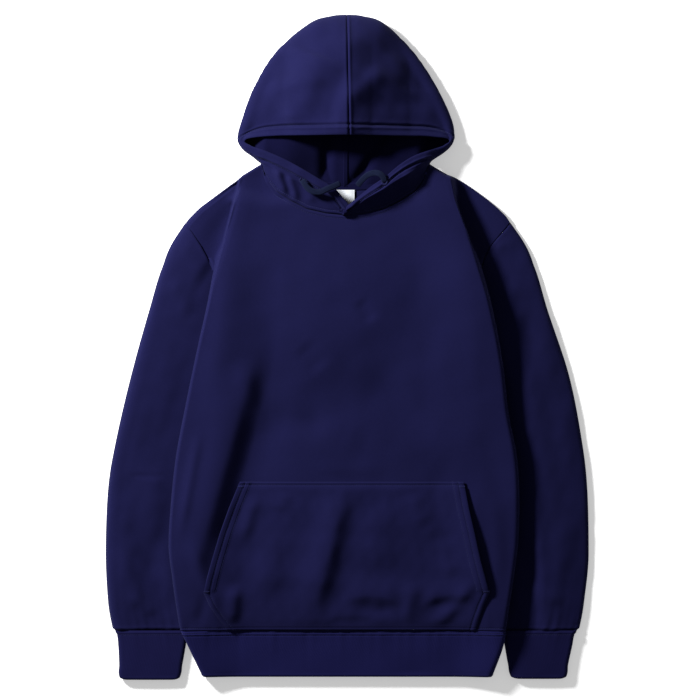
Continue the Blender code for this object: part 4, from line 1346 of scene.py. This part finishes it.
# neck label: a blank woven tab, its top edge sewn in, its lower middle standing off a little
labelSet = {
    "left": -14, "right": 10.6, "top": 217.5, "bottom": 181.0, "height": 3.6, "wall": 0.6,
    "rise": 1.6, "halfWidth": 14, "ripple": 0.3, "rippleRun": 3.1, "edge": 0.25, "edgeRun": 1.5,
}


# Label: its middle rises by a parabola across it, more towards the free edge, with a small sine ripple.
def labelGrid():
    x = np.linspace(labelSet["left"], labelSet["right"], 40)[None, :]
    y = np.linspace(labelSet["bottom"], labelSet["top"], 50)[:, None]
    down = (labelSet["top"] - y) / (labelSet["top"] - labelSet["bottom"])
    middle = (labelSet["left"] + labelSet["right"]) / 2
    rise = labelSet["rise"] * smooth(down * 1.6) * (1 - ((x - middle) / labelSet["halfWidth"]) ** 2)
    z = labelSet["height"] + rise + labelSet["ripple"] * np.sin(x / labelSet["rippleRun"])
    edge = np.minimum(np.minimum(x - labelSet["left"], labelSet["right"] - x), y - labelSet["bottom"])
    z = z + labelSet["edge"] * smooth(1 - edge / labelSet["edgeRun"]) + labelSet["wall"]
    return np.stack([np.broadcast_to(x, z.shape), np.broadcast_to(y, z.shape), z], axis=-1)


addSheet(
    "neck_label_woven", "neck_label", labelGrid(), woven, labelSet["wall"],
)


# Rows of stitches: one small rounded bar repeated at even steps along each line, lying on its surface.
def addStitches(name, lines, pitch=3.0, long=2.5, wide=0.85, high=0.7, crosswise=False):
    ends = np.array([-0.5, -0.32, 0.32, 0.5])
    size = np.array([0.45, 1.0, 1.0, 0.45])
    turn = np.linspace(0, 2 * np.pi, 6, endpoint=False)
    ring = np.stack([np.cos(turn) * wide / 2, np.sin(turn) * high / 2], axis=-1)
    bar = np.concatenate([np.column_stack([np.full(6, e * long), ring * k]) for e, k in zip(ends, size)])
    if crosswise:
        bar = bar[:, [1, 0, 2]] * (1, -1, 1)
    quads = [
        (6 * r + k, 6 * r + (k + 1) % 6, 6 * r + 6 + (k + 1) % 6, 6 * r + 6 + k)
        for r in range(3) for k in range(6)
    ]
    quads += [(5, 4, 3, 2), (5, 2, 1, 0), (18, 19, 20, 21), (18, 21, 22, 23)]
    points = []
    for path, face in lines:
        far = distances(path)
        stops = np.arange(pitch / 2, far[-1], pitch)
        middle, up = readAt(stops, far, path), readAt(stops, far, face)
        along = unit(readAt(stops + 0.6, far, path) - readAt(stops - 0.6, far, path))
        across = unit(np.cross(up, along))
        up = np.cross(along, across)
        axes = np.stack([along, across, up], axis=1)
        points.append(middle[:, None] + np.einsum("pk,nkc->npc", bar, axes) + up[:, None] * high * 0.2)
    points = np.concatenate(points)
    faces = (np.arange(len(points))[:, None, None] * len(bar) + np.array(quads)[None]).reshape(-1, 4)
    mesh = bpy.data.meshes.new(name)
    mesh.from_pydata((points.reshape(-1, 3) * mm).tolist(), [], faces.tolist())
    uv = points.reshape(-1, 3)[faces.ravel()][:, :2] * mm
    mesh.uv_layers.new(name="cloth").data.foreach_set("uv", uv.ravel())
    mesh.materials.append(thread)
    mesh.shade_smooth()
    piece = bpy.data.objects.new(name, mesh)
    bpy.context.scene.collection.objects.link(piece)
    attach(piece, "root")


# the line on a grid at one distance from the last point of every row
def lineFromEnd(grid, distance):
    far = lengths(grid[:, ::-1], 1)
    return [
        np.array([readAt(distance, *row) for row in zip(far, points[:, ::-1])])
        for points in (grid, normals(grid))
    ]


# one row or column of a grid with its normals
def gridLine(grid, row=None, column=None, keep=slice(None), around=False):
    face = normals(grid, around)
    if row is not None:
        return grid[row][keep], face[row][keep]
    return grid[:, column][keep], face[:, column][keep]


upright = (0, 0, 1.0)
# strips behind seams: widths, depths under the cloth, and for the two at an armhole where they run
tapeSet = {
    "crown": 6, "crownDepth": 0.05, "backNeck": (11, 1.2), "backHeight": 4.0,
    "frontNeck": 5, "frontMore": 2, "frontDepth": 0.9,
    "armhole": 3.2, "armholeLess": 2.2, "armholeDepth": 0.6, "below": 4, "out": 0.7, "narrowY": 165,
    "in": 1.5, "lowest": 0.8, "underEdge": 1.6, "start": 2, "past": 20, "steps": 50,
}


# A strip behind a seam: it lies inside the cloth by one depth and spans both edges, as a sewn allowance does.
def addTape(name, path, wide, depth, material, face=upright, across=None):
    offsets = np.broadcast_to(wide, len(path))[:, None] * np.linspace(-0.5, 0.5, 7)
    face = np.broadcast_to(face, path.shape)
    if across is None:
        across = np.cross(np.gradient(path, axis=0), face)
    across = unit(np.broadcast_to(across, path.shape))
    grid = path[:, None] - unit(face)[:, None] * depth + across[:, None] * offsets[..., None]
    addCloth(name, grid, material, 0.5)


# stitches under the front neckline, over the front's hem and along the waistband
def sewBody():
    shown = (np.abs(front[-6, :, 0] - bodySet["middleX"]) < bodySet["neckOut"] - 1) & (front[-6, :, 1] > 100)
    side = front.shape[1]
    hemLine = gridLine(front, row=4, keep=slice(len(sideMarks), side - len(sideMarks)))
    neckLine = gridLine(front, row=-6, keep=shown)
    addStitches("neck_seam_stitches", [neckLine])
    bandRows = [gridLine(band, row=len(band) - 1 - k, keep=slice(0, 160), around=True) for k in (3, 7)]
    addStitches("hem_seam_stitches", [hemLine, *bandRows])


eyelets = {"left": (-61, 228.4), "right": (51, 225.6)}  # where each drawcord end comes out
eyeletSet = {"radius": 3.4, "pitch": 0.9, "long": 2.2, "wide": 0.9}


# a ring of stitches square to a circle, on the cloth nearest the given place
def addEyelet(side, x, y):
    grid = hoods[side]
    face = normals(grid)
    away = np.hypot(grid[..., 0] - x, grid[..., 1] - y) + 1000 * (face[..., 2] < 0.3)
    spot = np.unravel_index(np.argmin(away), away.shape)
    middle, up = grid[spot], face[spot]
    ahead = unit(np.cross(up, (0, 1, 0)))
    turn = np.linspace(0, 2 * np.pi, 40)[:, None]
    ring = middle + eyeletSet["radius"] * (np.cos(turn) * ahead + np.sin(turn) * np.cross(up, ahead))
    line = (ring, np.broadcast_to(up, ring.shape))
    size = {name: eyeletSet[name] for name in ("pitch", "long", "wide")}
    addStitches(f"eyelet_{side}", [line], crosswise=True, **size)


# the hood's hem and neck stitches, the tape inside its crown seam and its eyelets
def sewHood():
    lines = []
    for side in ("left", "right"):
        lines.append(gridLine(hoods[side], column=hoodSet["stitchAt"], keep=slice(2, -2)))
        path, up = lineFromEnd(hoods[side], hoodSet["neckStitchAt"])
        front = path[:, 2] > 16
        lines.append((path[front], up[front]))
    addStitches("hood_stitches", lines)
    path = (hoods["left"][0] + hoods["right"][-1]) / 2
    face = normals(hoods["left"])[0] + normals(hoods["right"])[-1]
    depth = hoodSet["wall"] + tapeSet["crownDepth"]
    addTape("crown_seam_tape", path, tapeSet["crown"], depth, paintedShadeInside, face=face)
    for side, place in eyelets.items():
        addEyelet(side, *place)


# two rows along each hand opening, one along the sewn edges and the top, and a tack at each opening's ends
def sewPocket():
    y = pocket[:, 0, 1]
    openRows, sewnRows = y > pocketSet["foldAt"] + 2, y < pocketSet["foldAt"] - 2
    lines = [gridLine(pocket, column=k, keep=rows) for k in (8, -9) for rows in (openRows, sewnRows)]
    lines += [gridLine(pocket, column=k, keep=openRows) for k in (16, -17)]
    lines.append(gridLine(pocket, row=-6, keep=slice(3, -3)))
    addStitches("pocket_stitches", lines)
    tacks = []
    for row in (int(np.argmin(np.abs(y - pocketSet["foldAt"] - 3))), len(y) - 9):
        for keep in (slice(0, 9), slice(-9, None)):
            tacks.append(gridLine(pocket, row=row, keep=keep))
    addStitches("pocket_bar_tacks", tacks, pitch=0.8, long=2.4, wide=0.9, high=0.9, crosswise=True)


# the cuffs' stitches, then the strips behind each armhole, one above the sleeve and one at its inner edge
def sewSleeves():
    lines = []
    for side in ("left", "right"):
        grid = cuffs[side]
        fromSeam = cuffRows[side]["y"][-1] - grid[:, 0, 1]
        row = int(np.argmin(np.abs(fromSeam - cuffSet["stitchAt"])))
        lines.append(gridLine(grid, row=row, keep=slice(0, cuffSet["stitched"]), around=True))
    addStitches("cuff_stitches", lines)
    for side, column in (("left", 0), ("right", -1)):
        y = front[:, column, 1]
        rows = y > bodySet["underarmY"] - tapeSet["below"]
        path = front[rows, column] + np.array([outward(side) * tapeSet["out"], 0, 0])
        wide = tapeSet["armhole"] - tapeSet["armholeLess"] * smooth((y[rows] - tapeSet["narrowY"]) / 5)
        addTape(f"armhole_tape_{side}", path, wide, tapeSet["armholeDepth"], fleece)
        ends = armholeRows["y"][0] + tapeSet["start"], bodySet["underarmY"] + tapeSet["past"]
        y = np.linspace(*ends, tapeSet["steps"])
        x = straight(armholeRows, side, y) - outward(side) * tapeSet["in"]
        edge = straight(armholeRows, side + "Height", y) - tapeSet["underEdge"]
        edge = np.where(y > bodySet["underarmY"], edge, 20)
        low = tapeSet["lowest"]
        top = low + np.minimum(sleeveLift(x, y), edge)
        path = np.column_stack([x, y, (top + low) / 2])
        face = np.cross(np.gradient(path, axis=0), upright)
        addTape(f"underarm_tape_{side}", path, top - low, 0, paintedShadeInside, face=face, across=upright)


# tape over the back neck seam, from one neck point round to the other, and one behind each front half
def sewNeck():
    seam = np.linspace(0.98, 0, 50)
    left, right = neckPlace("left", seam), neckPlace("right", seam[::-1])
    flat = np.concatenate([left, right[1:]])
    path = np.column_stack([flat, np.full(len(flat), tapeSet["backHeight"])])
    addTape("back_neck_tape", path, *tapeSet["backNeck"], paintedShadeInside)
    for side in ("left", "right"):
        rows = hoodRows[side]
        seam = np.linspace(1.0, 2.0, 70)
        height = np.interp(seam, rows["seam"], rows["nz"])
        path = np.column_stack([neckPlace(side, seam), height])
        wide = tapeSet["frontNeck"] + tapeSet["frontMore"] * smooth((seam - 1) / 0.1)
        addTape(f"neck_tape_{side}", path, wide, tapeSet["frontDepth"], fleece)


sewBody()
sewHood()
sewPocket()
sewSleeves()
sewNeck()
print("seams are sewn")
